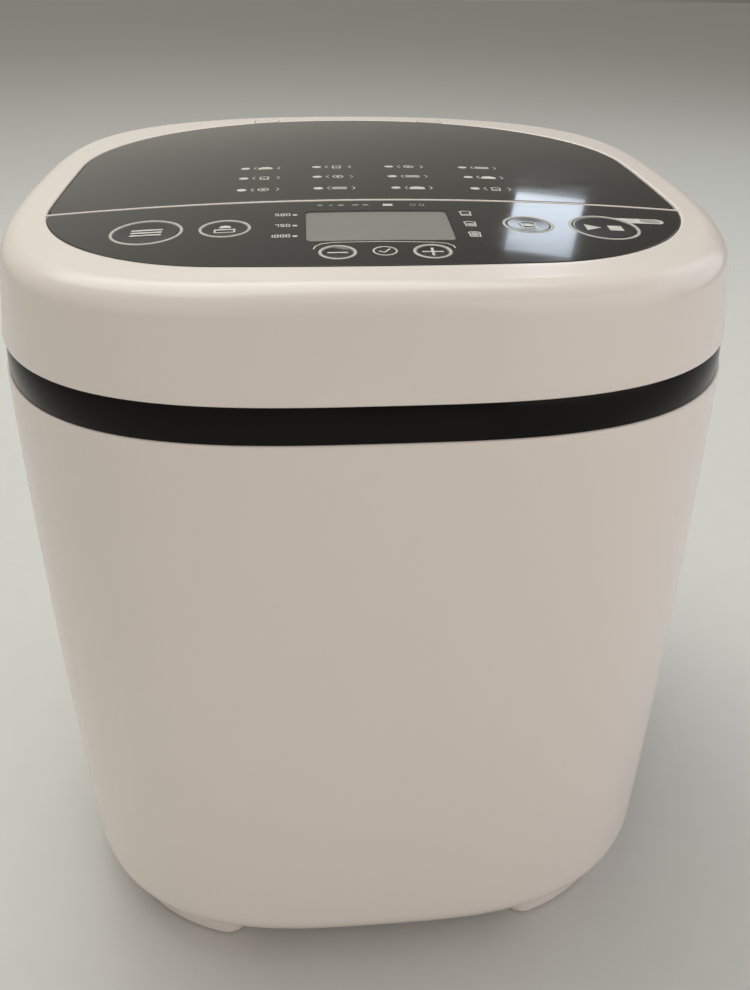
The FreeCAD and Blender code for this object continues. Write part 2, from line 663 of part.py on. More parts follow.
def oven_form(outset, low, high):
    return rounded_box(0, OVEN_Y, OVEN_HALF_WIDTH + outset, OVEN_HALF_DEPTH + outset,
                       OVEN_CORNER + outset, low, high)


def heater():
    """The tubular element: a rounded loop whose two ends leave through the front wall."""
    z = HEATER_Z
    half_x, half_y = HEATER_HALF
    corner = HEATER_CORNER
    front = OVEN_Y - half_y
    rear = OVEN_Y + half_y
    leave = HEATER_LEAVES
    bend = HEATER_BEND
    right = [
        Part.makeLine(Vector(leave, front - HEATER_END, z), Vector(leave, front - bend, z)),
        arc_between((leave + bend, front - bend), bend, 180, 90, z),
        Part.makeLine(Vector(leave + bend, front, z), Vector(half_x - corner, front, z)),
        arc_between((half_x - corner, front + corner), corner, 270, 360, z),
        Part.makeLine(Vector(half_x, front + corner, z), Vector(half_x, rear - corner, z)),
        arc_between((half_x - corner, rear - corner), corner, 0, 90, z),
    ]
    runs = right + [Part.makeLine(Vector(half_x - corner, rear, z), Vector(corner - half_x, rear, z))]
    for edge in reversed(right):
        runs.append(edge.mirror(Vector(0, 0, 0), X_AXIS))
    path = Part.Wire(Part.__sortEdges__(runs))
    section = Part.Wire(Part.makeCircle(HEATER_RADIUS, Vector(leave, front - HEATER_END, z), Y_AXIS))
    return path.makePipeShell([section], True, False)


# ---------------------------------------------------------------- pan, bail and paddle
def pan_form(inset, low, high):
    """The pan's tapered bucket between two heights, inset from its outside."""
    levels = []
    for z in (low, high):
        narrow = PAN_TAPER * (PAN_TOP - z) / (PAN_TOP - PAN_FLOOR) + inset
        levels.append(rounded_wire(0, OVEN_Y, PAN_HALF_WIDTH - narrow, PAN_HALF_DEPTH - narrow,
                                   PAN_CORNER - narrow, z))
    return Part.makeLoft(levels, True, True)


LIP_HEIGHT = 2.4
BASE_RING = (43.0, 39.0)                # outer and inner radius of the ring the pan stands on
LUG_REACH = 2.4                         # the lugs that the latches' springs hold
LUG_HALF = 6.0
LUG_LOW = 84.0
BUSH_RADIUS = 6.9
BUSH_FLANGE = 9.0
BUSH_LOW = 93.0
BUSH_HIGH = 104.0
COUPLING_TOP = 90.0
PADDLE_SHAFT_TOP = 126.0


def build_pan():
    bucket = pan_form(0, PAN_FLOOR, PAN_TOP)
    lip = rounded_box(0, OVEN_Y, PAN_HALF_WIDTH + PAN_LIP, PAN_HALF_DEPTH + PAN_LIP,
                      PAN_CORNER + PAN_LIP, PAN_TOP - LIP_HEIGHT, PAN_TOP)
    hollow = pan_form(PAN_SHEET, PAN_FLOOR + PAN_SHEET, PAN_TOP + 2)
    node("pan_shell", union([bucket, lip]).cut(hollow).cut(rod(0, OVEN_Y, 90, 110, BUSH_RADIUS + 0.1)))

    ring = tube(0, OVEN_Y, OVEN_FLOOR + 0.2, PAN_FLOOR, BASE_RING[0], BASE_RING[1])
    flange_low = PAN_FLOOR - 3
    pieces = [ring, tube(0, OVEN_Y, flange_low, PAN_FLOOR, BASE_RING[0], BUSH_RADIUS)]
    for side in (-1, 1):
        pieces.append(side_box(side, BASE_RING[0] - 1, BASE_RING[0] + LUG_REACH,
                               OVEN_Y - LUG_HALF, OVEN_Y + LUG_HALF, LUG_LOW, LUG_LOW + 6))
    node("pan_base", union(pieces))
    bush = union([rod(0, OVEN_Y, BUSH_LOW, flange_low, BUSH_FLANGE),
                  rod(0, OVEN_Y, BUSH_LOW, BUSH_HIGH, BUSH_RADIUS)])
    bush = union([bush, rod(0, OVEN_Y, PAN_FLOOR + PAN_SHEET, BUSH_HIGH, BUSH_FLANGE)])
    node("pan_bush", bush.cut(rod(0, OVEN_Y, 80, 120, PADDLE_SHAFT_RADIUS + RUNNING)))

    node("paddle_shaft", rod(0, OVEN_Y, COUPLING_TOP, PADDLE_SHAFT_TOP, PADDLE_SHAFT_RADIUS))
    tongue = box(-11, 11, OVEN_Y - 2, OVEN_Y + 2, COUPLING_TOP - 3.5, COUPLING_TOP)
    hub = tube(0, OVEN_Y, COUPLING_TOP, COUPLING_TOP + 2.6, 7, PADDLE_SHAFT_RADIUS)
    node("pan_coupling", union([tongue, hub]))
    node("paddle", paddle())

    ears = []
    ear_low = PAN_TOP - 8
    inner = PAN_HALF_WIDTH + PAN_LIP
    outer = inner + EAR_SHEET
    for side in (-1, 1):
        plate = side_box(side, inner, outer, OVEN_Y - EAR_HALF, OVEN_Y + EAR_HALF, ear_low, BAIL_Z + 5)
        tab = side_box(side, PAN_HALF_WIDTH, outer, OVEN_Y - EAR_HALF, OVEN_Y + EAR_HALF,
                       ear_low, PAN_TOP - LIP_HEIGHT)
        hole = bar(Vector(side * PAN_HALF_WIDTH - 20, OVEN_Y, BAIL_Z), X_AXIS, 40, BAIL_WIRE + RUNNING)
        ears.append(union([plate, tab]).cut(hole))
    node("bail_ears", *ears)
    node("bail", bail())


def paddle():
    """Kneading paddle: a hub on the shaft and one thin blade with rounded upper corners."""
    hub = union([rod(0, OVEN_Y, PADDLE_LOW, 128, 8.5), rod(0, OVEN_Y, PADDLE_LOW, 107, 10.5)])
    front = OVEN_Y - BLADE_HALF
    outline = [(0, PADDLE_LOW), (44, PADDLE_LOW), (42, 124), (30, PADDLE_TOP), (0, 126), (0, PADDLE_LOW)]
    face = Part.Face(Part.makePolygon([Vector(x, front, z) for x, z in outline]))
    blade = face.extrude(Vector(0, 2 * BLADE_HALF, 0))
    corners = [edge for edge in blade.Edges
               if edge.BoundBox.YLength > 4 and edge.BoundBox.XMin > 20 and edge.BoundBox.ZMin > 120]
    blade = blade.makeFillet(6, corners)
    return union([hub, blade]).cut(rod(0, OVEN_Y, 100, PADDLE_SHAFT_TOP, PADDLE_SHAFT_RADIUS))


def bail():
    """The pan's wire handle, folded down on the rim, with its ends turned into the ears."""
    corner = BAIL_CORNER
    rear = OVEN_Y + BAIL_REACH
    inner = PAN_HALF_WIDTH + PAN_LIP - 3
    turn = BAIL_TURN
    half = PAN_HALF_WIDTH + PAN_LIP + EAR_SHEET + BAIL_WIRE + 0.5
    right = [
        Part.makeLine(Vector(half, OVEN_Y + turn, BAIL_Z), Vector(half, rear - corner, BAIL_Z)),
        arc_between((half - corner, rear - corner), corner, 0, 90, BAIL_Z),
    ]
    left = [edge.mirror(Vector(0, 0, 0), X_AXIS) for edge in right]
    middle = Part.makeLine(Vector(half - corner, rear, BAIL_Z), Vector(corner - half, rear, BAIL_Z))
    path = Part.Wire(Part.__sortEdges__(right + [middle] + left))
    start = path.OrderedVertexes[0].Point
    section = Part.Wire(Part.makeCircle(BAIL_WIRE, start, Y_AXIS))
    loop = path.makePipeShell([section], True, False)
    ends = []
    for side in (-1, 1):
        ends.append(Part.makeSphere(BAIL_WIRE, Vector(side * half, OVEN_Y, BAIL_Z)))
        ends.append(bar(Vector(side * half, OVEN_Y, BAIL_Z), Y_AXIS, turn, BAIL_WIRE))
        ends.append(bar(Vector(side * half, OVEN_Y, BAIL_Z), Vector(-side, 0, 0), half - inner, BAIL_WIRE))
    return union([loop] + ends)


# ---------------------------------------------------------------- drive
def belt_wire(outset, z):
    """An open belt round both pulleys: two arcs and two tangent runs."""
    big = BIG_PULLEY + outset
    small = SMALL_PULLEY + outset
    distance = OVEN_Y - MOTOR_Y
    lean = math.asin((big - small) / distance)
    tangent = math.degrees(lean)
    big_arc = arc_between((0, OVEN_Y), big, -tangent, 180 + tangent, z)
    small_arc = arc_between((0, MOTOR_Y), small, 180 + tangent, 360 - tangent, z)
    left = Part.makeLine(big_arc.Vertexes[-1].Point, small_arc.Vertexes[0].Point)
    right = Part.makeLine(small_arc.Vertexes[-1].Point, big_arc.Vertexes[0].Point)
    return Part.Wire([big_arc, left, small_arc, right])


def pulley(y, radius, bore):
    wheel = rod(0, y, PULLEY_LOW, PULLEY_HIGH, radius)
    for z in (PULLEY_LOW, PULLEY_HIGH - 2):
        wheel = wheel.fuse(rod(0, y, z, z + 2, radius + 2.5))
    return wheel.removeSplitter().cut(rod(0, y, 0, 50, bore))


PULLEY_HOLES = 6
DOG_X = (6.0, 11.0)                     # each coupling dog's reach from the shaft
DOG_Y = (2.3, 6.3)
DOG_Z = (84.0, 89.0)
CASE_Z = (42.0, 92.0)
BRACKET_SHEET = 2.0
BRACKET_FOOT = BASE_Z + WALL + PLATE_THICK
MOTOR_BRACKET_HALF = (44.0, 20.0)
MOTOR_BRACKET_TOP = 39.0
SUPPORT_HALF = (100.0, 34.0)
SUPPORT_TOP = 73.0
BEARING_FLANGE = (68.0, 71.0)


def build_drive():
    bearing = union([rod(0, OVEN_Y, 44, OVEN_FLOOR - OVEN_SHEET, 14), rod(0, OVEN_Y, *BEARING_FLANGE, 24)])
    node("drive_bearing", bearing.cut(rod(0, OVEN_Y, 0, 99, SHAFT_RADIUS + RUNNING)))
    node("drive_shaft", rod(0, OVEN_Y, 19, DOG_Z[0], SHAFT_RADIUS))
    big = pulley(OVEN_Y, BIG_PULLEY, SHAFT_RADIUS)
    for step in range(PULLEY_HOLES):
        angle = 2 * math.pi * step / PULLEY_HOLES
        big = big.cut(rod(21 * math.cos(angle), OVEN_Y + 21 * math.sin(angle), 0, 50, 8))
    node("drive_pulley", big)
    disc = rod(0, OVEN_Y, 81, DOG_Z[0] + 0.5, 15).cut(rod(0, OVEN_Y, 80, DOG_Z[0], SHAFT_RADIUS))
    dogs = []
    for side in (-1, 1):
        dogs.append(side_box(side, *DOG_X, OVEN_Y + DOG_Y[0], OVEN_Y + DOG_Y[1], *DOG_Z))
        dogs.append(side_box(side, *DOG_X, OVEN_Y - DOG_Y[1], OVEN_Y - DOG_Y[0], *DOG_Z))
    node("oven_coupling", union([disc] + dogs))

    belt = prism(belt_wire(BELT_THICK, BELT_LOW), BELT_HIGH - BELT_LOW)
    node("drive_belt", belt.cut(prism(belt_wire(0.0, BELT_LOW - 1), BELT_HIGH - BELT_LOW + 2)))
    build_motor()

    half_x, half_y = SUPPORT_HALF
    plate = box(-half_x, half_x, OVEN_Y - half_y, OVEN_Y + half_y, SUPPORT_TOP - BRACKET_SHEET, SUPPORT_TOP)
    plate = plate.cut(rod(0, OVEN_Y, 60, 80, 14.1))
    node("support_bracket", union([plate] + bracket_legs(half_x, OVEN_Y, half_y, SUPPORT_TOP, -10)))
    node("bearing_screws", *[rod(side_x * 18, OVEN_Y + side_y * 8, 64.5, BEARING_FLANGE[0], 2.2)
                             for side_x in (-1, 1) for side_y in (-1, 1)])


def bracket_legs(half_x, y, half_y, top, toe):
    """Two sheet legs down to the base plate, with toes that point out (+) or in (-)."""
    legs = []
    for side in (-1, 1):
        legs.append(side_box(side, half_x - BRACKET_SHEET, half_x, y - half_y, y + half_y, BRACKET_FOOT, top))
        near = half_x if toe < 0 else half_x - BRACKET_SHEET
        legs.append(side_box(side, near, half_x + toe, y - half_y, y + half_y,
                             BRACKET_FOOT, BRACKET_FOOT + BRACKET_SHEET))
    return legs


def build_motor():
    low, high = CASE_Z
    case = rod(0, MOTOR_Y, low, high, MOTOR_RADIUS)
    caps = [rod(0, MOTOR_Y, low - 3, low, MOTOR_RADIUS - 3),
            rod(0, MOTOR_Y, high, high + 4, MOTOR_RADIUS - 3),
            rod(0, MOTOR_Y, high + 4, high + 10, 9)]
    motor = union([case] + caps).cut(rod(0, MOTOR_Y, 0, high + 7, MOTOR_SHAFT_RADIUS + RUNNING))
    node("motor_body", motor)
    node("motor_shaft", rod(0, MOTOR_Y, 20, high + 6, MOTOR_SHAFT_RADIUS))
    node("motor_pulley", pulley(MOTOR_Y, SMALL_PULLEY, MOTOR_SHAFT_RADIUS))
    half_x, half_y = MOTOR_BRACKET_HALF
    top = MOTOR_BRACKET_TOP
    shelf = box(-half_x, half_x, MOTOR_Y - half_y, MOTOR_Y + half_y, top - 2.5, top)
    legs = bracket_legs(half_x, MOTOR_Y, half_y, top, 10)
    node("motor_bracket", union([shelf] + legs).cut(rod(0, MOTOR_Y, 30, 45, 10)))


# ---------------------------------------------------------------- electrics
POWER_BOARD = (-112.0, -46.0, 108.0, 190.0)     # x and z limits
POWER_BOARD_Y = -111.0                          # its rear face
RIBBON = (-56.0, -36.0)                         # x limits
RIBBON_SHEET = 0.6


def build_electrics():
    x0, x1, z0, z1 = POWER_BOARD
    front = POWER_BOARD_Y - BOARD_THICK
    node("power_board", box(x0, x1, front, POWER_BOARD_Y, z0, z1))
    node("transformer", box(-104, -72, POWER_BOARD_Y, -86, 116, 150))
    node("board_components", box(-66, -50, POWER_BOARD_Y, -98, 120, 138),
         bar(Vector(-60, POWER_BOARD_Y, 160), Y_AXIS, 20, 8),
         box(-104, -80, POWER_BOARD_Y, -97, 160, 176))
    low = z1 - 4
    high = BOARD_Z - 2
    drop = front - 4
    node("ribbon_cable", union([
        box(*RIBBON, drop, drop + RIBBON_SHEET, low, high),
        box(*RIBBON, drop, -108, high, high + RIBBON_SHEET),
        box(*RIBBON, drop, front, low - RIBBON_SHEET, low)]))


build_body()
build_top()
build_lid()
build_controls()
build_oven()
build_pan()
build_drive()
build_electrics()

os.makedirs("parts", exist_ok=True)
for name, shape in NODES.items():
    shape.exportStep("parts/" + name + ".step")
print(len(NODES), "nodes")
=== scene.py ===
import math

import bmesh
import bpy
import numpy as np
from mathutils import Matrix, Vector


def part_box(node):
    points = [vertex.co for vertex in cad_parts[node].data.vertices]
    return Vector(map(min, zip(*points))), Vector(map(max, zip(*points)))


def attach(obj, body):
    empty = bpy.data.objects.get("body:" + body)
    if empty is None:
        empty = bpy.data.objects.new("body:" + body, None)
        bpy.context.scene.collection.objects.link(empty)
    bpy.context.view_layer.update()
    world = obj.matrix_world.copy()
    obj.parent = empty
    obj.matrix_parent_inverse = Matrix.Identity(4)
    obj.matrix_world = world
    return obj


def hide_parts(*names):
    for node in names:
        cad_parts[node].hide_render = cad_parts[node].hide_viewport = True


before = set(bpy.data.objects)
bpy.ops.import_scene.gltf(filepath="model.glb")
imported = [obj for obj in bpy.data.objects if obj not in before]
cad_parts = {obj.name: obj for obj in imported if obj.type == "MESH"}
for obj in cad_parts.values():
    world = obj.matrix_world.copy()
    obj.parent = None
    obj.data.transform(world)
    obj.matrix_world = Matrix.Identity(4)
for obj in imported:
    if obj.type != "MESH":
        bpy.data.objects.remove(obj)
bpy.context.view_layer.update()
MM = 0.001

# ---------------- places and sizes, in metres
BAND_BOX_LOW, BAND_BOX_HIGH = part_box("trim_band")
SHELL_LOW, SHELL_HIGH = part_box("body_shell")
DOME_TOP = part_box("lid_panel")[1].z

# housing
HALF_WIDTH = SHELL_HIGH.x  # at the band
HALF_DEPTH = SHELL_HIGH.y
BASE_HALF_WIDTH = HALF_WIDTH - 11.9 * MM
BASE_HALF_DEPTH = HALF_DEPTH - 8.2 * MM
BOTTOM_HOLE = (106 * MM, 123 * MM)  # half sizes of the opening that the base plate closes
PLAN_POWER = 3.13  # superellipse exponent of the body's plan
TOP_PLAN_POWER = 3.5
BARREL_BOW = 0.48  # how strongly the wall bows outwards
BASE_Z = SHELL_LOW.z
BASE_RADIUS = 15.7 * MM
WALL_FOOT = BASE_Z + BASE_RADIUS  # where the rounded bottom edge meets the wall
WALL = 2.6 * MM
INNER_SHARE = 0.999  # the inner wall ends this little below the lip
LIP = 0.9 * MM  # edge radius of shell and ring beside the band
REAR_CUT = (100 * MM, 200 * MM)  # y range of the cuts that go through the rear wall only
VENT_GAP = 0.2 * MM
GLAND_HOLE = 7 * MM
AROUND = 240  # points round the housing
RIM_POINTS = 360
DISPLAY_POINTS = 160
CORNER_TURN = 91  # degrees of arc at a corner, whose last point is left out
SPUN_AROUND = 64
DRUM_AROUND = 72
MERGE = 1e-6  # points nearer than this become one

# trim band
BAND_LOW = BAND_BOX_LOW.z
BAND_HIGH = BAND_BOX_HIGH.z
BAND_RECESS = HALF_WIDTH - BAND_BOX_HIGH.x
BAND_THICK = 3 * MM
BAND_EDGE = 0.4 * MM

# top ring, from the band up
RING_SLOPE = 0.1326
RING_EDGE_RADIUS = 9.5 * MM
RING_TOP = DOME_TOP + 3 * MM  # where the plan would reach its upper exponent
RING_SHOULDER = DOME_TOP - 18 * MM  # where the wall begins to turn over
RING_RIM = DOME_TOP - 7 * MM  # the level whose plan sets the rim's outer edge
RING_INNER_RIM = DOME_TOP - 10 * MM
RING_INNER_WALL = DOME_TOP - 20 * MM
RING_INNER_PULL = 2 * MM
RING_INNER_DROP = 1 * MM
OPENING_EDGE = 0.7 * MM
COLLAR = 2 * MM
COLLAR_LOW = 262 * MM

# the dome that all of the top lies on
DOME_RADIUS = 1.7
DOME_Y = 12 * MM
DOME_CENTRE = Vector((0, DOME_Y, DOME_TOP - DOME_RADIUS))
ON_DOME = 0.03 * MM  # a corner this near the dome lies on it
FACING_UP = 0.98  # least upward share of a top face's normal
PLATE_MIDDLE = 0.002  # size of a plate's innermost ring, as a share of its rim

# the opening in the ring, and the seam between lid and controls
OPENING_HALF_WIDTH = 121 * MM
OPENING_FRONT = -133 * MM
OPENING_REAR = 124 * MM
FRONT_ARC = 470 * MM
FRONT_CORNER = 75 * MM
REAR_ARC = 200 * MM
REAR_CORNER = 110 * MM
SEAM_Y = -63.8 * MM
SEAM_RADIUS = 2400 * MM
SEAM_CLEAR = 0.2 * MM  # outline points nearer the seam than this are dropped
SEAM_SPAN = 60 * MM  # a longer gap than this in the outline is the seam
RIB_HALF = 0.6 * MM
RIB_PROUD = 0.3 * MM
RIB_TUCK = 0.5 * MM  # how far its ends run into the collar

# lid and control fascia
LID_GAP = 1.0 * MM
LID_CENTRE = (0, 25 * MM)
LID_EDGE = 0.5 * MM
PANEL_THICK = 2.2 * MM
FASCIA_GAP = 0.25 * MM
FASCIA_CENTRE = (0, -100 * MM)
FASCIA_EDGE = 0.3 * MM
FASCIA_THICK = 2.6 * MM
HOLE_REACH = 15 * MM  # how far a cutter runs above and below the dome's top

# hinge pockets
PIN_LENGTH = 24 * MM
NOTCH_HALF = 6.5 * MM
NOTCH_FRONT = 110 * MM
NOTCH_REACH = 3 * MM  # behind the hinge line
NOTCH_DEPTH = 3.5 * MM  # below it
POCKET_WALL = 3 * MM
POCKET_FRONT = 4 * MM  # before the hinge line
POCKET_REAR = 2.5 * MM  # behind the notch
POCKET_GAP = 0.2 * MM  # under the ring's roof
POCKET_EDGE = 0.3 * MM

# feet
FOOT_HALF = (123 * MM, 140 * MM)  # outer half sizes of the oval that the feet follow
FOOT_WIDTH = 16 * MM
FOOT_FROM = math.radians(33)
FOOT_TO = math.radians(66.5)
FOOT_LOW = 1 * MM
FOOT_TOP = BASE_Z + 3.4 * MM
FOOT_STATIONS = 40
SOLE_RISE = (0.35 * MM, 1.2 * MM)  # levels of the softened edge of the sole

# buttons and display
BUTTONS = ["menu_button", "weight_button", "minus_button", "plus_button", "crust_button", "start_button"]
BUTTON_GAP = 0.15 * MM
BUTTON_DISH = 0.35 * MM
BUTTON_SKIRT = 3.2 * MM
BEZEL_WIDTH = 1.2 * MM
BEZEL_PROUD = 0.16 * MM
BEZEL_SKIRT = 4 * MM
AXIS_HOLE = 0.02 * MM  # a turned piece stops this near its axis
DISPLAY_GAP = 0.1 * MM
DISPLAY_CORNER = 2.2 * MM
DISPLAY_EDGE = 0.1 * MM
LENS_DROP = 0.05 * MM  # top of the lens below the dome
LENS_THICK = 0.3 * MM
GLASS_DROP = 0.45 * MM
GLASS_THICK = 1.6 * MM

# printed marks: heights in metres, and places on the top in millimetres
PRINT_HEIGHT = 0.05 * MM
PRINT_THICK = 0.1 * MM
BUTTON_SIGN_HEIGHT = -0.12 * MM  # in the button's dish
LIGHT_HEIGHT = 0.12 * MM
LIGHT_RIM = 0.9 * MM  # printed rim round the start light
PROGRAMME_COLUMNS = (-49.5, -19.6, 11.2, 42.9)
PROGRAMME_ROWS = (-11.5, -28.7, -46.8)
WEIGHTS = (("500", -80.8), ("750", -92.9), ("1000", -103.9))
WEIGHT_RIGHT = -30.6
CRUST_ROWS = (-80.6, -92.7, -103.8)
CRUST_X = 34.0
STAGE_ROW = -70.4
SEGMENTS = {  # seven-segment strokes of each digit, on a 1 x 2 grid
    "0": "abcdef", "1": "bc", "5": "acdfg", "7": "abc",
}
SEGMENT_ENDS = {
    "a": ((0, 2), (1, 2)), "b": ((1, 2), (1, 1)), "c": ((1, 1), (1, 0)), "d": ((1, 0), (0, 0)),
    "e": ((0, 0), (0, 1)), "f": ((0, 1), (0, 2)), "g": ((0, 1), (1, 1)),
}

# studio and camera
FLOOR_HALF = 6.0
WORLD_LEFT = (0.50, 0.48, 0.43)
WORLD_RIGHT = (0.10, 0.092, 0.085)
CAMERA_PLACE = Vector((-25.9, -455.3, 397.9)) * MM
CAMERA_YAW = math.radians(5.82)
CAMERA_PITCH = math.radians(22.96)  # downwards
CAMERA_ROLL = math.radians(1.0)
CAMERA_LENS = 38.03
CAMERA_SENSOR = 36
CAMERA_SHIFT = (-0.0295, -0.1274)


# ---------------- mesh helpers
def make_object(name, mesh):
    """A new object in the scene that shows the mesh."""
    piece = bpy.data.objects.new(name, mesh)
    bpy.context.scene.collection.objects.link(piece)
    return piece


def finish_piece(piece, material, body, slot, *replaced, sharp=35):
    """Smooth shading with sharp corners, a material, a body and the nodes it stands for."""
    for polygon in piece.data.polygons:
        polygon.use_smooth = True
    piece.data.set_sharp_from_angle(angle=math.radians(sharp))
    piece.data.materials.clear()
    piece.data.materials.append(material)
    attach(piece, body)
    if replaced:
        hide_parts(*replaced)
    return piece


def loops_mesh(name, loops, wrap=True):
    """A closed skin through equal loops of points; without wrap its two ends are capped."""
    count = len(loops[0])
    total = len(loops) * count
    faces = []
    for low in range(0, total if wrap else total - count, count):
        high = (low + count) % total
        for i in range(count):
            j = (i + 1) % count
            faces.append((low + i, low + j, high + j, high + i))
    if not wrap:
        faces.append(tuple(range(count))[::-1])
        faces.append(tuple(range(total - count, total)))
    mesh = bpy.data.meshes.new(name)
    mesh.from_pydata([tuple(point) for loop in loops for point in loop], [], faces)
    edit = bmesh.new()
    edit.from_mesh(mesh)
    bmesh.ops.remove_doubles(edit, verts=edit.verts, dist=MERGE)
    bmesh.ops.recalc_face_normals(edit, faces=edit.faces)
    edit.to_mesh(mesh)
    edit.free()
    return mesh


def skin(name, loops, wrap=True):
    return make_object(name, loops_mesh(name, loops, wrap))


def mesh_of(edit, name):
    """A new mesh from the edited one, which is let go."""
    mesh = bpy.data.meshes.new(name)
    edit.to_mesh(mesh)
    edit.free()
    return mesh


def spun(name, profile, place, tilt):
    """A turned piece: profile is a closed list of (radius, height), spun about its axis."""
    loops = []
    for radius, height in profile:
        turns = [2 * math.pi * step / SPUN_AROUND for step in range(SPUN_AROUND)]
        loops.append([Vector((radius * math.cos(turn), radius * math.sin(turn), height)) for turn in turns])
    piece = skin(name, loops)
    piece.data.transform(Matrix.Translation(place) @ tilt)
    return piece


def carve(piece, cutter_mesh):
    """Cut the cutter out of the piece for good."""
    cutter = make_object("cutter", cutter_mesh)
    boolean = piece.modifiers.new("cut", "BOOLEAN")
    boolean.operation = "DIFFERENCE"
    boolean.solver = "EXACT"
    boolean.object = cutter
    bpy.context.view_layer.update()
    depsgraph = bpy.context.evaluated_depsgraph_get()
    result = bpy.data.meshes.new_from_object(piece.evaluated_get(depsgraph))
    piece.modifiers.clear()
    piece.data = result
    bpy.data.objects.remove(cutter)


def block_mesh(low, high):
    """A box between two corners, to cut with or to build on."""
    edit = bmesh.new()
    bmesh.ops.create_cube(edit, size=1)
    size = Vector(high) - Vector(low)
    middle = (Vector(high) + Vector(low)) / 2
    place = Matrix.Translation(middle) @ Matrix.Diagonal((*size, 1))
    bmesh.ops.transform(edit, verts=edit.verts, matrix=place)
    return mesh_of(edit, "block")


def drum_mesh(place, radius, height, axis="Z"):
    """A cylinder about its middle, to cut with."""
    edit = bmesh.new()
    bmesh.ops.create_cone(edit, cap_ends=True, segments=DRUM_AROUND, radius1=radius, radius2=radius,
                          depth=height)
    turn = Matrix.Rotation(math.radians(90), 4, "X") if axis == "Y" else Matrix.Identity(4)
    bmesh.ops.transform(edit, verts=edit.verts, matrix=Matrix.Translation(place) @ turn)
    return mesh_of(edit, "drum")


def dome_z(x, y):
    """The dome's height at a place."""
    return DOME_CENTRE.z + math.sqrt(DOME_RADIUS ** 2 - x ** 2 - (y - DOME_Y) ** 2)


def dome_tilt(x, y):
    """The turn that stands a piece square on the dome."""
    normal = (Vector((x, y, dome_z(x, y))) - DOME_CENTRE).normalized()
    return Vector((0, 0, 1)).rotation_difference(normal).to_matrix().to_4x4()


def dome_shading(piece):
    """Give every corner that lies on the dome the dome's own normal, so that gloss stays clean."""
    mesh = piece.data
    normals = [Vector((0, 0, 0))] * len(mesh.loops)
    for polygon in mesh.polygons:
        if polygon.normal.z < FACING_UP:
            continue
        for index in polygon.loop_indices:
            place = mesh.vertices[mesh.loops[index].vertex_index].co
            if abs(place.z - dome_z(place.x, place.y)) < ON_DOME:
                normals[index] = (place - DOME_CENTRE).normalized()
    mesh.normals_split_custom_set(normals)


# ---------------- outlines
def rounding(radius, *turns):
    """How far a rounded edge is pulled in and raised at each turn in degrees; 90 is the wall."""
    for degrees in turns:
        angle = math.radians(degrees)
        yield radius * (1 - math.sin(angle)), radius * (1 - math.cos(angle))


def oval(half_x, half_y, power, z):
    """A level superellipse, with points at the housing's own angles."""
    loop = []
    for step in range(AROUND):
        angle = 2 * math.pi * (step + 0.5) / AROUND
        c = abs(math.cos(angle)) / half_x
        s = abs(math.sin(angle)) / half_y
        reach = (c ** power + s ** power) ** (-1 / power)
        loop.append(Vector((reach * math.cos(angle), reach * math.sin(angle), z)))
    return loop


def arc(cx, cy, radius, start, end, steps):
    """Points along an arc between two angles in degrees, its last point included."""
    angles = [math.radians(start + (end - start) * k / steps) for k in range(steps + 1)]
    return [(cx + radius * math.cos(angle), cy + radius * math.sin(angle)) for angle in angles]


def opening_points(inset):
    """The outline of the whole glossy top, as a fine chain of points from the right side round."""
    front_x = OPENING_HALF_WIDTH - FRONT_CORNER
    front_centre = OPENING_FRONT + FRONT_ARC
    front_y = front_centre - math.sqrt((FRONT_ARC - FRONT_CORNER) ** 2 - front_x ** 2)
    rear_x = OPENING_HALF_WIDTH - REAR_CORNER
    rear_centre = OPENING_REAR - REAR_ARC
    rear_y = rear_centre + math.sqrt((REAR_ARC - REAR_CORNER) ** 2 - rear_x ** 2)
    front_deg = math.degrees(math.atan2(front_centre - front_y, front_x))
    rear_deg = math.degrees(math.atan2(rear_y - rear_centre, rear_x))
    side = OPENING_HALF_WIDTH - inset
    span = rear_y - front_y
    up = [(side, front_y + span * k / 24) for k in range(24)]
    down = [(-side, rear_y - span * k / 24) for k in range(24)]
    return (up
            + arc(rear_x, rear_y, REAR_CORNER - inset, 0, rear_deg, 48)[:-1]
            + arc(0, rear_centre, REAR_ARC - inset, rear_deg, 180 - rear_deg, 16)[:-1]
            + arc(-rear_x, rear_y, REAR_CORNER - inset, 180 - rear_deg, 180, 48)[:-1]
            + down
            + arc(-front_x, front_y, FRONT_CORNER - inset, 180, 180 + front_deg, 40)[:-1]
            + arc(0, front_centre, FRONT_ARC - inset, 180 + front_deg, 360 - front_deg, 40)[:-1]
            + arc(front_x, front_y, FRONT_CORNER - inset, 360 - front_deg, 360, 40)[:-1])


def opening_loop(inset, drop=0.0, z=None):
    """The opening's outline seen at the housing's own angles, on the dome or at height z."""
    across, back = np.array(opening_points(inset)).T
    angles = np.unwrap(np.arctan2(back, across))
    reaches = np.hypot(across, back)
    angles = np.concatenate([angles + turn for turn in (-2 * math.pi, 0, 2 * math.pi)])
    reaches = np.tile(reaches, 3)
    loop = []
    for step in range(AROUND):
        angle = 2 * math.pi * (step + 0.5) / AROUND
        reach = float(np.interp(angle, angles, reaches))
        x = reach * math.cos(angle)
        y = reach * math.sin(angle)
        loop.append(Vector((x, y, dome_z(x, y) - drop if z is None else z)))
    return loop


def seam_y(x, offset):
    """The seam's line, moved towards the lid by the offset."""
    return SEAM_Y - SEAM_RADIUS + math.sqrt((SEAM_RADIUS + offset) ** 2 - x ** 2)


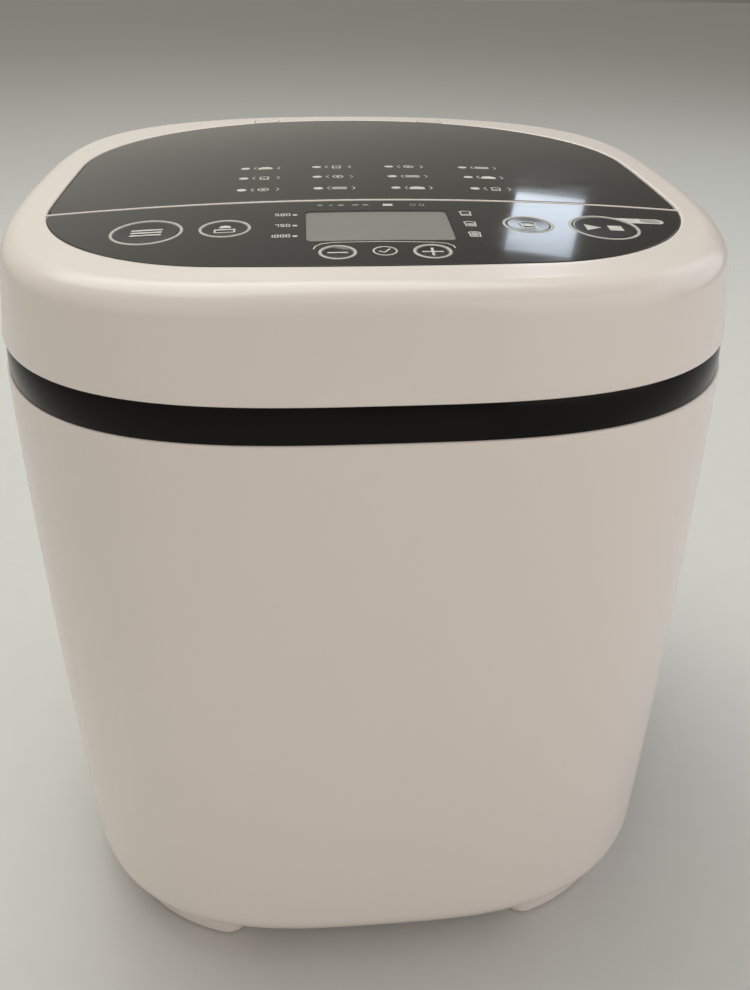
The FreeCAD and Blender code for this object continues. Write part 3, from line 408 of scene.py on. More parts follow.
def clipped_outline(inset, side):
    """The opening's outline on one side of the seam: side +1 is the lid, -1 the fascia."""
    offset = side * (RIB_HALF + inset)
    kept = [p for p in opening_points(inset) if side * (p[1] - seam_y(p[0], offset)) > SEAM_CLEAR]
    start = next(i for i, p in enumerate(kept) if math.dist(p, kept[i - 1]) > SEAM_SPAN)
    kept = kept[start:] + kept[:start]
    corner_a = seam_corner(inset, offset, math.copysign(1, kept[-1][0]))
    corner_b = seam_corner(inset, offset, math.copysign(1, kept[0][0]))
    across = [corner_a + (corner_b - corner_a) * step / 48 for step in range(49)]
    return kept + [(x, seam_y(x, offset)) for x in across]


def seam_corner(inset, offset, sign):
    """Where the seam meets the outline, as its x on one side."""
    side = [p for p in opening_points(inset) if p[0] * sign > 0]
    nearest = min(side, key=lambda p: abs(p[1] - seam_y(p[0], offset)))
    return nearest[0]


def resample(points, count):
    """The same closed outline with points evenly spaced."""
    ring = np.array(points + points[:1])
    steps = np.hypot(*np.diff(ring, axis=0).T)
    along = np.concatenate([[0], np.cumsum(steps)])
    places = np.linspace(0, along[-1], count, endpoint=False)
    return list(zip(np.interp(places, along, ring[:, 0]), np.interp(places, along, ring[:, 1])))


def rim_of(gap, side):
    """The even outline of the lid (+1) or the fascia (-1), moved inwards by its gap."""
    return resample(clipped_outline(gap, side), RIM_POINTS)


def rounded_rim(low, high, corner):
    """A rounded rectangle between two corners as an even outline."""
    points = []
    for side_x, side_y, start in ((1, 1, 0), (-1, 1, 90), (-1, -1, 180), (1, -1, 270)):
        centre = ((high.x if side_x > 0 else low.x) - side_x * corner,
                  (high.y if side_y > 0 else low.y) - side_y * corner)
        points += arc(*centre, corner, start, start + CORNER_TURN, 10)[:-1]
    return resample(points, DISPLAY_POINTS)


def domed_plate(name, rim, centre, drop, thick, edge):
    """A plate on the dome, or lowered by drop, with a rounded edge and closed underneath."""
    def shrunk(share, fall):
        return [(centre[0] + (x - centre[0]) * share, centre[1] + (y - centre[1]) * share, fall)
                for x, y in rim]

    loops = [shrunk(share, 0.0) for share in (PLATE_MIDDLE, 0.12, 0.25, 0.4, 0.55, 0.7, 0.82, 0.91, 0.965)]
    for pull, fall in rounding(edge, 0, 22.5, 45, 67.5, 90):
        loops.append([pulled(point, centre, pull) + (fall,) for point in rim])
    loops.append([(x, y, thick) for x, y in rim])
    loops += [shrunk(share, thick) for share in (0.9, 0.5, PLATE_MIDDLE)]
    solid = [[Vector((x, y, dome_z(x, y) - drop - fall)) for x, y, fall in loop] for loop in loops]
    return skin(name, solid, wrap=False)


def pulled(point, centre, distance):
    """The point moved towards the centre by a distance."""
    away = Vector((point[0] - centre[0], point[1] - centre[1]))
    near = away - away.normalized() * distance
    return (centre[0] + near.x, centre[1] + near.y)


# ---------------- materials
def new_material(name):
    """A new material with its node tree, its shader and its texture coordinates."""
    material = bpy.data.materials.new(name)
    material.use_nodes = True
    tree = material.node_tree
    return material, tree, tree.nodes["Principled BSDF"], tree.nodes.new("ShaderNodeTexCoord")


def noise_node(tree, place, scale, detail, stretch=None):
    """Noise in the object's own space, stretched along the axes with the smaller factors."""
    noise = tree.nodes.new("ShaderNodeTexNoise")
    noise.inputs["Scale"].default_value = scale
    noise.inputs["Detail"].default_value = detail
    if stretch is None:
        tree.links.new(place.outputs["Object"], noise.inputs["Vector"])
    else:
        mapping = tree.nodes.new("ShaderNodeMapping")
        mapping.inputs["Scale"].default_value = stretch
        tree.links.new(place.outputs["Object"], mapping.inputs["Vector"])
        tree.links.new(mapping.outputs["Vector"], noise.inputs["Vector"])
    return noise


def ramp_node(tree, source, low, high, start=0.35, end=0.65):
    """A value turned into a colour between two colours."""
    ramp = tree.nodes.new("ShaderNodeValToRGB")
    ramp.color_ramp.elements[0].position = start
    ramp.color_ramp.elements[0].color = (*low, 1)
    ramp.color_ramp.elements[1].position = end
    ramp.color_ramp.elements[1].color = (*high, 1)
    tree.links.new(source, ramp.inputs["Fac"])
    return ramp


def range_node(tree, source, low, high, start=0.3, end=0.7):
    """A value spread from start..end to low..high."""
    spread = tree.nodes.new("ShaderNodeMapRange")
    spread.inputs["From Min"].default_value = start
    spread.inputs["From Max"].default_value = end
    spread.inputs["To Min"].default_value = low
    spread.inputs["To Max"].default_value = high
    tree.links.new(source, spread.inputs["Value"])
    return spread


def bump_node(tree, source, shader, strength, distance):
    """A value felt as small heights in the surface."""
    bump = tree.nodes.new("ShaderNodeBump")
    bump.inputs["Strength"].default_value = strength
    bump.inputs["Distance"].default_value = distance
    tree.links.new(source, bump.inputs["Height"])
    tree.links.new(bump.outputs["Normal"], shader.inputs["Normal"])


def colour_from(tree, noise, shader, low, high, *limits):
    """The surface's colour drifts between two colours with the noise."""
    ramp = ramp_node(tree, noise.outputs["Fac"], low, high, *limits)
    tree.links.new(ramp.outputs["Color"], shader.inputs["Base Color"])


def polish_from(tree, noise, shader, low, high, *limits):
    """The surface's roughness drifts between two values with the noise."""
    spread = range_node(tree, noise.outputs["Fac"], low, high, *limits)
    tree.links.new(spread.outputs["Result"], shader.inputs["Roughness"])


def set_sockets(shader, **values):
    """Set the shader's plain values; a socket's name has _ for its spaces here."""
    for name, value in values.items():
        shader.inputs[name.replace("_", " ")].default_value = value


def moulded(name, low, high, rough, coat=0.0, grain=900.0, grain_depth=0.02, mottle=14.0, specular=0.5):
    """Moulded plastic: slight colour drift, uneven polish, and a moulding texture."""
    material, tree, shader, place = new_material(name)
    colour_from(tree, noise_node(tree, place, mottle, 3), shader, low, high)
    polish_from(tree, noise_node(tree, place, 55, 6), shader, *rough)
    texture = noise_node(tree, place, grain, 2)
    bump_node(tree, texture.outputs["Fac"], shader, grain_depth, 0.1 * MM)
    set_sockets(shader, Coat_Weight=coat, Coat_Roughness=0.05, Specular_IOR_Level=specular)
    return material


def metal(name, low, high, rough, stretch=None, grain=400.0, depth=0.05):
    """Metal with a brushed, turned or cast grain."""
    material, tree, shader, place = new_material(name)
    grain_noise = noise_node(tree, place, grain, 6, stretch)
    colour_from(tree, grain_noise, shader, low, high)
    polish_from(tree, grain_noise, shader, *rough)
    bump_node(tree, grain_noise.outputs["Fac"], shader, depth, 0.1 * MM)
    set_sockets(shader, Metallic=1.0)
    return material


def white_shell():
    """Warm white gloss moulding with faint flow marks and a very fine orange peel."""
    material, tree, shader, place = new_material("white_plastic_gloss")
    colour_from(tree, noise_node(tree, place, 3, 2, (1, 1, 0.35)), shader,
                (0.80, 0.735, 0.695), (0.815, 0.75, 0.71))
    polish_from(tree, noise_node(tree, place, 400, 2), shader, 0.22, 0.27)
    peel = noise_node(tree, place, 700, 1)
    bump_node(tree, peel.outputs["Fac"], shader, 0.02, 0.05 * MM)
    set_sockets(shader, Coat_Weight=0.15, Coat_Roughness=0.12, Subsurface_Weight=0.05,
                Subsurface_Radius=(0.004, 0.003, 0.002), Subsurface_Scale=0.5)
    return material


def smoked_gloss():
    """Polished dark panel: a nearly clean gloss with faint smears and a slight waviness."""
    material, tree, shader, place = new_material("smoked_panel_gloss")
    colour_from(tree, noise_node(tree, place, 9, 3), shader, (0.012, 0.011, 0.009), (0.019, 0.017, 0.014))
    polish_from(tree, noise_node(tree, place, 22, 8, (1, 2.5, 1)), shader, 0.05, 0.13, 0.35, 0.75)
    wave = noise_node(tree, place, 60, 2)
    bump_node(tree, wave.outputs["Fac"], shader, 0.015, 0.05 * MM)
    set_sockets(shader, IOR=1.46, Coat_Weight=0.25, Coat_Roughness=0.03)
    return material


def clear_lens():
    """A clear cover, nearly see-through, with faint smears."""
    material, tree, shader, place = new_material("clear_lens")
    polish_from(tree, noise_node(tree, place, 40, 6), shader, 0.04, 0.14)
    set_sockets(shader, Base_Color=(0.75, 0.75, 0.72, 1), Alpha=0.06, IOR=1.49)
    return material


def nonstick():
    """Dark non-stick coat with pale specks."""
    material, tree, shader, place = new_material("nonstick_coat")
    speckle = noise_node(tree, place, 900, 1)
    colour_from(tree, speckle, shader, (0.045, 0.045, 0.047), (0.32, 0.32, 0.32), 0.66, 0.72)
    polish_from(tree, noise_node(tree, place, 60, 5), shader, 0.32, 0.5)
    bump_node(tree, speckle.outputs["Fac"], shader, 0.1, 0.1 * MM)
    return material


WHITE = white_shell()
SMOKED = smoked_gloss()
BLACK_GLOSS = moulded("black_gloss", (0.004, 0.004, 0.004), (0.008, 0.007, 0.007), (0.14, 0.22),
                      grain=120, grain_depth=0.01, specular=0.12)
BUTTON_BLACK = moulded("button_gloss_black", (0.008, 0.008, 0.007), (0.014, 0.013, 0.012), (0.1, 0.2), 0.2,
                       grain=200, grain_depth=0.02)
BLACK_MATT = moulded("black_fine_matt", (0.02, 0.02, 0.02), (0.035, 0.035, 0.035), (0.45, 0.6))
GREY_MATT = moulded("grey_fine_matt", (0.16, 0.16, 0.165), (0.2, 0.2, 0.205), (0.4, 0.55))
SATIN_GREY = moulded("satin_grey_trim", (0.48, 0.475, 0.45), (0.56, 0.555, 0.53), (0.3, 0.42), 0.15,
                     mottle=300)
PRINT = moulded("printed_grey", (0.56, 0.56, 0.52), (0.68, 0.68, 0.64), (0.35, 0.5), mottle=300)
FAINT_PRINT = moulded("printed_faint_grey", (0.24, 0.24, 0.22), (0.32, 0.32, 0.30), (0.35, 0.5), mottle=300)
LENS = clear_lens()
LCD = moulded("lcd_grey_green", (0.155, 0.153, 0.134), (0.195, 0.192, 0.17), (0.35, 0.45), mottle=12)
LIGHT = moulded("frosted_light", (0.34, 0.33, 0.32), (0.44, 0.42, 0.40), (0.3, 0.4), 0.3, mottle=200)
RUBBER = moulded("foot_rubber", (0.05, 0.05, 0.05), (0.09, 0.09, 0.09), (0.7, 0.85), grain_depth=0.2)
STEEL = metal("turned_steel", (0.45, 0.45, 0.46), (0.62, 0.62, 0.63), (0.25, 0.4))
SHEET_STEEL = metal("rolled_sheet_steel", (0.42, 0.42, 0.43), (0.58, 0.58, 0.59), (0.28, 0.45),
                    (1, 1, 14), 60)
ALUMINIUM = metal("drawn_aluminium", (0.6, 0.6, 0.6), (0.74, 0.74, 0.74), (0.28, 0.42), (14, 1, 1), 60)
CAST = metal("die_cast_aluminium", (0.36, 0.36, 0.37), (0.5, 0.5, 0.51), (0.45, 0.6), None, 500, 0.3)
BRONZE = metal("sintered_bronze", (0.4, 0.26, 0.1), (0.55, 0.36, 0.16), (0.35, 0.5), None, 800, 0.2)
HEATER = metal("oxidised_heater_tube", (0.12, 0.10, 0.09), (0.3, 0.26, 0.23), (0.45, 0.65), None, 200, 0.2)
NONSTICK = nonstick()
BOARD = moulded("solder_mask_green", (0.02, 0.12, 0.04), (0.04, 0.2, 0.07), (0.3, 0.4), 0.3, mottle=60)
ACETAL = moulded("natural_acetal", (0.6, 0.57, 0.5), (0.7, 0.67, 0.6), (0.35, 0.5))
BELT = moulded("ribbed_belt_rubber", (0.015, 0.015, 0.015), (0.03, 0.03, 0.03), (0.6, 0.8), grain_depth=0.3)
CAN = metal("plated_motor_can", (0.3, 0.3, 0.31), (0.45, 0.45, 0.46), (0.35, 0.5), (1, 1, 10), 80)

NODE_MATERIALS = {
    WHITE: ["rear_vent", "lid_hinges"],
    BLACK_MATT: ["lid_frame", "cord_gland", "tact_switches", "buzzer", "board_components"],
    GREY_MATT: ["oven_deck", "base_plate", "ribbon_cable"],
    RUBBER: ["foot_pads"],
    STEEL: ["base_screws", "lid_screws", "hinge_pins", "element_clips", "temperature_probe", "thermal_fuse",
            "pan_latches", "bearing_screws", "drive_shaft", "motor_shaft", "paddle_shaft", "bail",
            "bail_ears"],
    SHEET_STEEL: ["oven_chamber", "heat_shield", "support_bracket", "motor_bracket"],
    ALUMINIUM: ["lid_liner"],
    CAST: ["drive_bearing", "oven_coupling", "pan_base", "pan_coupling"],
    BRONZE: ["pan_bush"],
    HEATER: ["heating_element"],
    NONSTICK: ["pan_shell", "paddle"],
    BOARD: ["control_board", "power_board"],
    ACETAL: ["drive_pulley", "motor_pulley"],
    BELT: ["drive_belt"],
    CAN: ["motor_body", "transformer"],
}


def dress_nodes():
    """Give every carried-over sub-part its material."""
    for material, names in NODE_MATERIALS.items():
        for name in names:
            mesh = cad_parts[name].data
            mesh.materials.clear()
            mesh.materials.append(material)


# ---------------- housing
def barrel_loop(z, inset):
    """The body's bowed wall at one height."""
    part = (z - WALL_FOOT) / (BAND_LOW - WALL_FOOT)
    swell = part + BARREL_BOW * part * (1 - part)
    half_x = BASE_HALF_WIDTH + (HALF_WIDTH - BASE_HALF_WIDTH) * swell
    half_y = BASE_HALF_DEPTH + (HALF_DEPTH - BASE_HALF_DEPTH) * swell
    return oval(half_x - inset, half_y - inset, PLAN_POWER, z)


def base_loops(turns, inset):
    """The rounded bottom edge, outside or inset by the wall: 0 degrees is the underside."""
    half_x = BASE_HALF_WIDTH - inset
    half_y = BASE_HALF_DEPTH - inset
    return [oval(half_x - pull, half_y - pull, PLAN_POWER, BASE_Z + inset + rise)
            for pull, rise in rounding(BASE_RADIUS - inset, *turns)]


def build_shell():
    """The white body: rounded bottom edge, bowed wall, and the same again inside."""
    loops = [oval(*BOTTOM_HOLE, PLAN_POWER, BASE_Z)]
    loops += base_loops(range(0, 90, 9), 0)
    for step in range(33):
        loops.append(barrel_loop(WALL_FOOT + (BAND_LOW - LIP - WALL_FOOT) * step / 32, 0))
    for fall, pull in rounding(LIP, 30, 60, 90):
        loops.append(barrel_loop(BAND_LOW - fall, pull))
    loops.append(barrel_loop(BAND_LOW, WALL))
    for step in range(12, -1, -1):
        loops.append(barrel_loop(WALL_FOOT + (BAND_LOW - WALL_FOOT) * step / 12 * INNER_SHARE, WALL))
    loops += base_loops(range(72, -1, -18), WALL)
    loops.append(oval(*BOTTOM_HOLE, PLAN_POWER, BASE_Z + WALL))
    shell = skin("housing_shell", loops)
    cut_front, cut_rear = REAR_CUT
    vent_low, vent_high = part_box("rear_vent")
    carve(shell, block_mesh((vent_low.x - VENT_GAP, cut_front, vent_low.z - VENT_GAP),
                            (vent_high.x + VENT_GAP, cut_rear, vent_high.z + VENT_GAP)))
    gland_low, gland_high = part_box("cord_gland")
    gland = (gland_low + gland_high) / 2
    middle = Vector((gland.x, (cut_front + cut_rear) / 2, gland.z))
    carve(shell, drum_mesh(middle, GLAND_HOLE, cut_rear - cut_front, "Y"))
    finish_piece(shell, WHITE, "housing", "white_plastic", "body_shell")


def build_band():
    """The black band, with both outer edges rounded."""
    half_x = HALF_WIDTH - BAND_RECESS
    half_y = HALF_DEPTH - BAND_RECESS
    loops = [oval(half_x - BAND_THICK, half_y - BAND_THICK, PLAN_POWER, BAND_LOW)]
    for level, inwards, turns in ((BAND_LOW, 1, (0, 45, 90)), (BAND_HIGH, -1, (90, 45, 0))):
        for pull, rise in rounding(BAND_EDGE, *turns):
            loops.append(oval(half_x - pull, half_y - pull, PLAN_POWER, level + inwards * rise))
    loops.append(oval(half_x - BAND_THICK, half_y - BAND_THICK, PLAN_POWER, BAND_HIGH))
    band = skin("band_gloss_strip", loops)
    finish_piece(band, BLACK_GLOSS, "housing", "black_gloss", "trim_band", sharp=60)


def ring_wall(z, inset):
    """The top ring's leaning wall at one height."""
    lean = RING_SLOPE * (z - BAND_HIGH) + inset
    part = (z - BAND_HIGH) / (RING_TOP - BAND_HIGH)
    power = PLAN_POWER + (TOP_PLAN_POWER - PLAN_POWER) * part
    return oval(HALF_WIDTH - lean, HALF_DEPTH - lean, power, z)


def mixed(loop_a, loop_b, share):
    return [a.lerp(b, share) for a, b in zip(loop_a, loop_b)]


def on_dome(loop, drop=0.0):
    return [Vector((p.x, p.y, dome_z(p.x, p.y) - drop)) for p in loop]


def shoulder_loops(shoulder, rim):
    """The rounded edge that carries the ring's wall over into its rim."""
    high_wall = ring_wall(RING_RIM, 0)
    loops = []
    for step in range(1, 15):
        angle = math.radians(90 * step / 14)
        across = 1 - math.cos(angle)
        loop = []
        for base, wall, top in zip(shoulder, high_wall, rim):
            start_z = top.z - RING_EDGE_RADIUS
            start = base.lerp(wall, (start_z - base.z) / (wall.z - base.z))
            loop.append(Vector((start.x + (top.x - start.x) * across, start.y + (top.y - start.y) * across,
                                start_z + RING_EDGE_RADIUS * math.sin(angle))))
        loops.append(loop)
    return loops


def ring_loops():
    """The ring's section: wall, rounded edge, domed rim, opening edge, collar and inside."""
    loops = [ring_wall(BAND_HIGH, WALL)]
    for rise, pull in rounding(LIP, 90, 60, 30):
        loops.append(ring_wall(BAND_HIGH + rise, pull))
    for step in range(9):
        z = BAND_HIGH + LIP + (RING_SHOULDER - BAND_HIGH - LIP) * step / 8
        loops.append(ring_wall(z, 0))
    rim_outer = on_dome(ring_wall(RING_RIM, RING_EDGE_RADIUS))
    loops += shoulder_loops(loops[-1], rim_outer)
    rim_inner = opening_loop(-OPENING_EDGE)
    for step in range(1, 9):
        loops.append(on_dome(mixed(rim_outer, rim_inner, step / 8)))
    for pull, fall in rounding(OPENING_EDGE, 30, 60, 90):
        loops.append(opening_loop(-pull, fall))
    collar_foot = opening_loop(0, z=COLLAR_LOW)
    loops.append(mixed(opening_loop(0), collar_foot, 0.5))
    loops.append(collar_foot)
    loops.append(opening_loop(-COLLAR, z=COLLAR_LOW))
    loops.append(opening_loop(-COLLAR, WALL))
    inner_rim = ring_wall(RING_INNER_RIM, RING_EDGE_RADIUS + RING_INNER_PULL)
    loops.append(on_dome(inner_rim, WALL + RING_INNER_DROP))
    loops.append(ring_wall(RING_INNER_WALL, WALL))
    return loops


def build_ring():
    """The white top ring, with a notch and a pocket for each of the lid's knuckles."""
    ring = skin("top_ring_rim", ring_loops())
    pin_low, pin_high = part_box("hinge_pins")
    axis = (pin_low + pin_high) / 2
    hinge_x = pin_high.x - PIN_LENGTH / 2
    for side in (-1, 1):
        carve(ring, notch_mesh(side * hinge_x, axis))
    finish_piece(ring, WHITE, "housing", "white_plastic", "top_ring")
    for side in (-1, 1):
        build_hinge_pocket(side, side * hinge_x, axis)
    build_rib()


def notch_mesh(x, axis):
    """The space in which a knuckle turns, open at the top."""
    return block_mesh((x - NOTCH_HALF, NOTCH_FRONT, axis.z - NOTCH_DEPTH),
                      (x + NOTCH_HALF, axis.y + NOTCH_REACH, DOME_TOP + HOLE_REACH))


def build_hinge_pocket(side, x, axis):
    """The walled pocket under each knuckle, which also holds the hinge pin's ends."""
    half = NOTCH_HALF + 2 * POCKET_WALL
    rear = axis.y + NOTCH_REACH
    top = dome_z(x, rear) - WALL - POCKET_GAP
    pocket = make_object("hinge_pocket_" + ("left" if side < 0 else "right"),
                         block_mesh((x - half, axis.y - POCKET_FRONT, axis.z - NOTCH_DEPTH - POCKET_WALL),
                                    (x + half, rear + POCKET_REAR, top)))
    carve(pocket, notch_mesh(x, axis))
    bevel = pocket.modifiers.new("edge", "BEVEL")
    bevel.width = POCKET_EDGE
    bevel.segments = 2
    finish_piece(pocket, WHITE, "housing", "white_plastic")


def build_rib():
    """The thin white wall between oven and controls, whose top shows as a light line in the seam."""
    half_x = seam_corner(-RIB_TUCK, 0, 1)
    side = RIB_PROUD - 0.45 * MM
    shoulder = RIB_PROUD - 0.12 * MM
    crown = [(-RIB_HALF, side), (-RIB_HALF * 0.7, shoulder), (0, RIB_PROUD),
             (RIB_HALF * 0.7, shoulder), (RIB_HALF, side)]
    loops = []
    for step in range(65):
        x = -half_x + 2 * half_x * step / 64
        loop = [Vector((x, seam_y(x, -RIB_HALF), COLLAR_LOW))]
        for offset, height in crown:
            y = seam_y(x, offset)
            loop.append(Vector((x, y, dome_z(x, y) + height)))
        loop.append(Vector((x, seam_y(x, RIB_HALF), COLLAR_LOW)))
        loops.append(loop)
    rib = skin("seam_rib", loops, wrap=False)
    finish_piece(rib, WHITE, "housing", "white_plastic", sharp=60)


def foot_loop(step, side_x, side_y):
    """One station along a foot: its section, narrowed where the foot's end is rounded."""
    angle = FOOT_FROM + (FOOT_TO - FOOT_FROM) * step / FOOT_STATIONS
    reach = (math.cos(angle) / FOOT_HALF[0]) ** PLAN_POWER + (math.sin(angle) / FOOT_HALF[1]) ** PLAN_POWER
    outer = Vector((math.cos(angle), math.sin(angle))) * reach ** (-1 / PLAN_POWER)
    inward = -outer.normalized()
    near_end = min(step, FOOT_STATIONS - step) / FOOT_STATIONS * (FOOT_TO - FOOT_FROM) * outer.length
    round_share = min(1.0, near_end / (FOOT_WIDTH / 2))
    half = FOOT_WIDTH / 2 * math.sqrt(max(0.02, 1 - (1 - round_share) ** 2))
    middle = outer + inward * FOOT_WIDTH / 2
    low_rise, high_rise = SOLE_RISE
    loop = []
    for across, z in ((-1, FOOT_LOW + high_rise), (-0.96, FOOT_LOW + low_rise), (-0.86, FOOT_LOW),
                      (0.86, FOOT_LOW), (0.96, FOOT_LOW + low_rise), (1, FOOT_LOW + high_rise),
                      (1, FOOT_TOP), (-1, FOOT_TOP)):
        spot = middle + inward * half * across
        loop.append(Vector((side_x * spot.x, side_y * spot.y, z)))
    return loop


def build_feet():
    """Four corner feet that follow the body's plan, with rounded ends and a softened sole."""
    for index, (side_x, side_y) in enumerate(((1, 1), (-1, 1), (-1, -1), (1, -1))):
        loops = [foot_loop(step, side_x, side_y) for step in range(FOOT_STATIONS + 1)]
        foot = skin(f"corner_foot_{index + 1}", loops, wrap=False)
        replaced = ["feet"] if index == 0 else []
        finish_piece(foot, WHITE, "housing", "white_plastic", *replaced, sharp=50)


# ---------------- lid, fascia and controls
def build_lid():
    lid = domed_plate("lid_gloss_panel", rim_of(LID_GAP, 1), LID_CENTRE, 0, PANEL_THICK, LID_EDGE)
    finish_piece(lid, SMOKED, "lid", "smoked_panel", "lid_panel", sharp=60)
    dome_shading(lid)


def button_place(name):
    """A button's centre and its bezel's radius, from its node's box."""
    low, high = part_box(name)
    return (low.x + high.x) / 2, (low.y + high.y) / 2, (high.x - low.x) / 2 + BUTTON_GAP + BEZEL_WIDTH


def build_fascia():
    """The fixed control panel, with a hole for each bezel and for the display."""
    plate = domed_plate("control_fascia_panel", rim_of(FASCIA_GAP, -1), FASCIA_CENTRE, 0, FASCIA_THICK,
                        FASCIA_EDGE)
    for name in BUTTONS:
        x, y, radius = button_place(name)
        carve(plate, drum_mesh(Vector((x, y, DOME_TOP)), radius, 2 * HOLE_REACH))
    low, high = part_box("display_window")
    slack = Vector((DISPLAY_GAP, DISPLAY_GAP, 0))
    hole = rounded_rim(low - slack, high + slack, DISPLAY_CORNER)
    carve(plate, loops_mesh("hole", [[Vector((x, y, z)) for x, y in hole]
                                     for z in (DOME_TOP - HOLE_REACH, DOME_TOP + HOLE_REACH)], wrap=False))
    finish_piece(plate, SMOKED, "housing", "smoked_panel", "control_fascia", sharp=60)
    dome_shading(plate)


def bezel_profile(inner, outer):
    """A ring with a flat raised face and rounded shoulders."""
    profile = [(inner, -BEZEL_SKIRT), (inner, -0.15 * MM), (inner + 0.12 * MM, 0.05 * MM)]
    profile += [(inner + 0.4 * MM, BEZEL_PROUD), (outer - 0.4 * MM, BEZEL_PROUD)]
    return profile + [(outer - 0.12 * MM, 0.05 * MM), (outer, -0.15 * MM), (outer, -BEZEL_SKIRT)]


def cap_profile(radius):
    """A cap with a shallow dish and a rounded edge."""
    dish = [(AXIS_HOLE, -BUTTON_DISH), (0.35 * radius, -0.9 * BUTTON_DISH),
            (0.7 * radius, -0.5 * BUTTON_DISH)]
    edge = [(0.92 * radius, -0.1 * MM), (radius - 0.3 * MM, -0.08 * MM), (radius - 0.1 * MM, -0.16 * MM)]
    return dish + edge + [(radius, -0.4 * MM), (radius, -BUTTON_SKIRT), (AXIS_HOLE, -BUTTON_SKIRT)]


def build_buttons():
    for name in BUTTONS:
        x, y, outer = button_place(name)
        inner = outer - BEZEL_WIDTH
        tilt = dome_tilt(x, y)
        place = Vector((x, y, dome_z(x, y)))
        bezel = spun(name + "_bezel", bezel_profile(inner, outer), place, tilt)
        replaced = ["button_bezels"] if name == BUTTONS[0] else []
        finish_piece(bezel, SATIN_GREY, "housing", "silver_trim", *replaced, sharp=70)
        cap = spun(name + "_cap", cap_profile(inner - BUTTON_GAP), place, tilt)
        finish_piece(cap, BUTTON_BLACK, name + "_key", "button_black", name, sharp=70)


def build_display():
    """A clear lens flush with the fascia and the pale display glass close under it."""
    low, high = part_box("display_window")
    rim = rounded_rim(low, high, DISPLAY_CORNER - DISPLAY_GAP)
    centre = ((low.x + high.x) / 2, (low.y + high.y) / 2)
    lens = domed_plate("display_lens", rim, centre, LENS_DROP, LENS_THICK, DISPLAY_EDGE)
    finish_piece(lens, LENS, "housing", "display_lens", "display_window", sharp=50)
    glass = domed_plate("lcd_glass", rim, centre, GLASS_DROP, GLASS_THICK, DISPLAY_EDGE)
    finish_piece(glass, LCD, "housing", "lcd_grey", "lcd_module", sharp=50)


# ---------------- printed marks
def pill(cx, cy, width, height):
    """A bar with round ends, wider than high."""
    radius = height / 2
    reach = width / 2 - radius
    return arc(cx + reach, cy, radius, -90, 90, 8) + arc(cx - reach, cy, radius, 90, 270, 8)


def block(cx, cy, width, height):
    x, y = width / 2, height / 2
    return [(cx - x, cy - y), (cx + x, cy - y), (cx + x, cy + y), (cx - x, cy + y)]


def stroke(points, width):
    """A chain of points drawn as a line of that width, as one strip of four-sided tiles."""
    tiles = []
    for (ax, ay), (bx, by) in zip(points, points[1:]):
        along = Vector((bx - ax, by - ay)).normalized() * 0.15 * width
        across = Vector((-along.y, along.x)).normalized() * width / 2
        tiles.append([(ax - along.x - across.x, ay - along.y - across.y),
                      (bx + along.x - across.x, by + along.y - across.y),
                      (bx + along.x + across.x, by + along.y + across.y),
                      (ax - along.x + across.x, ay - along.y + across.y)])
    return tiles


def ring_tiles(cx, cy, radius, width, start=0, end=360, steps=28):
    return stroke(arc(cx, cy, radius, start, end, steps), width)


def printed(name, tiles, body, height=PRINT_HEIGHT, material=PRINT, slot="silver_trim"):
    """Tiles given in millimetres, printed on the dome as one thin raised layer."""
    edit = bmesh.new()
    for tile in tiles:
        tops = []
        bottoms = []
        for x_mm, y_mm in tile:
            x, y = x_mm * MM, y_mm * MM
            tops.append(edit.verts.new((x, y, dome_z(x, y) + height)))
            bottoms.append(edit.verts.new((x, y, dome_z(x, y) + height - PRINT_THICK)))
        edit.faces.new(tops)
        edit.faces.new(bottoms[::-1])
        for i in range(len(tile)):
            j = (i + 1) % len(tile)
            edit.faces.new((tops[i], bottoms[i], bottoms[j], tops[j]))
    bmesh.ops.recalc_face_normals(edit, faces=edit.faces)
    return finish_piece(make_object(name, mesh_of(edit, name)), material, body, slot)


def loaf(cx, cy, size):
    """A small loaf seen from the side: a flat foot and an oval crust."""
    crust = [(x, cy + 0.75 * (y - cy)) for x, y in arc(cx, cy, size, 0, 180, 8)]
    return [(cx - size, cy - 0.55 * size), (cx + size, cy - 0.55 * size)] + crust


def slice_tiles(cx, cy, size, width):
    """A slice of bread in outline, as high as it is wide, with a bulging top crust."""
    half = 0.7 * size
    neck = cy + 0.3 * size
    points = [(cx - half, cy - size), (cx + half, cy - size), (cx + half, neck)]
    for k in range(7):
        angle = math.radians(-20 + 220 * k / 6)
        points.append((cx + 0.85 * size * math.cos(angle), cy + 0.55 * size + 0.45 * size * math.sin(angle)))
    return stroke(points + [(cx - half, neck), (cx - half, cy - size)], width)


def programme_glyph(kind, cx, cy):
    """One of four invented programme signs, about six millimetres wide."""
    if kind == 0:
        return [loaf(cx, cy - 0.4, 3.0)]
    if kind == 1:
        return slice_tiles(cx, cy - 0.3, 2.2, 0.5) + [block(cx, cy - 1.0, 1.6, 0.5)]
    if kind == 2:
        return ring_tiles(cx, cy, 2.0, 0.5, steps=18) + [arc(cx, cy, 0.8, 0, 360, 12)[:-1]]
    return [pill(cx, cy + offset, 6, 0.7) for offset in (1.2, 0, -1.2)]


def build_lid_marks():
    """Twelve programmes in four columns and three rows: a dot and a sign in brackets."""
    tiles = []
    for c, x in enumerate(PROGRAMME_COLUMNS):
        for r, row in enumerate(PROGRAMME_ROWS):
            tiles.append(pill(x, row, 3.8, 3.2))
            tiles += ring_tiles(x + 6.2, row, 2.4, 0.35, 125, 235, 8)
            tiles += programme_glyph((c + r) % 4, x + 8.4, row)
            tiles += ring_tiles(x + 12.0, row, 2.4, 0.35, -55, 55, 8)
    printed("lid_programme_marks", tiles, "lid")


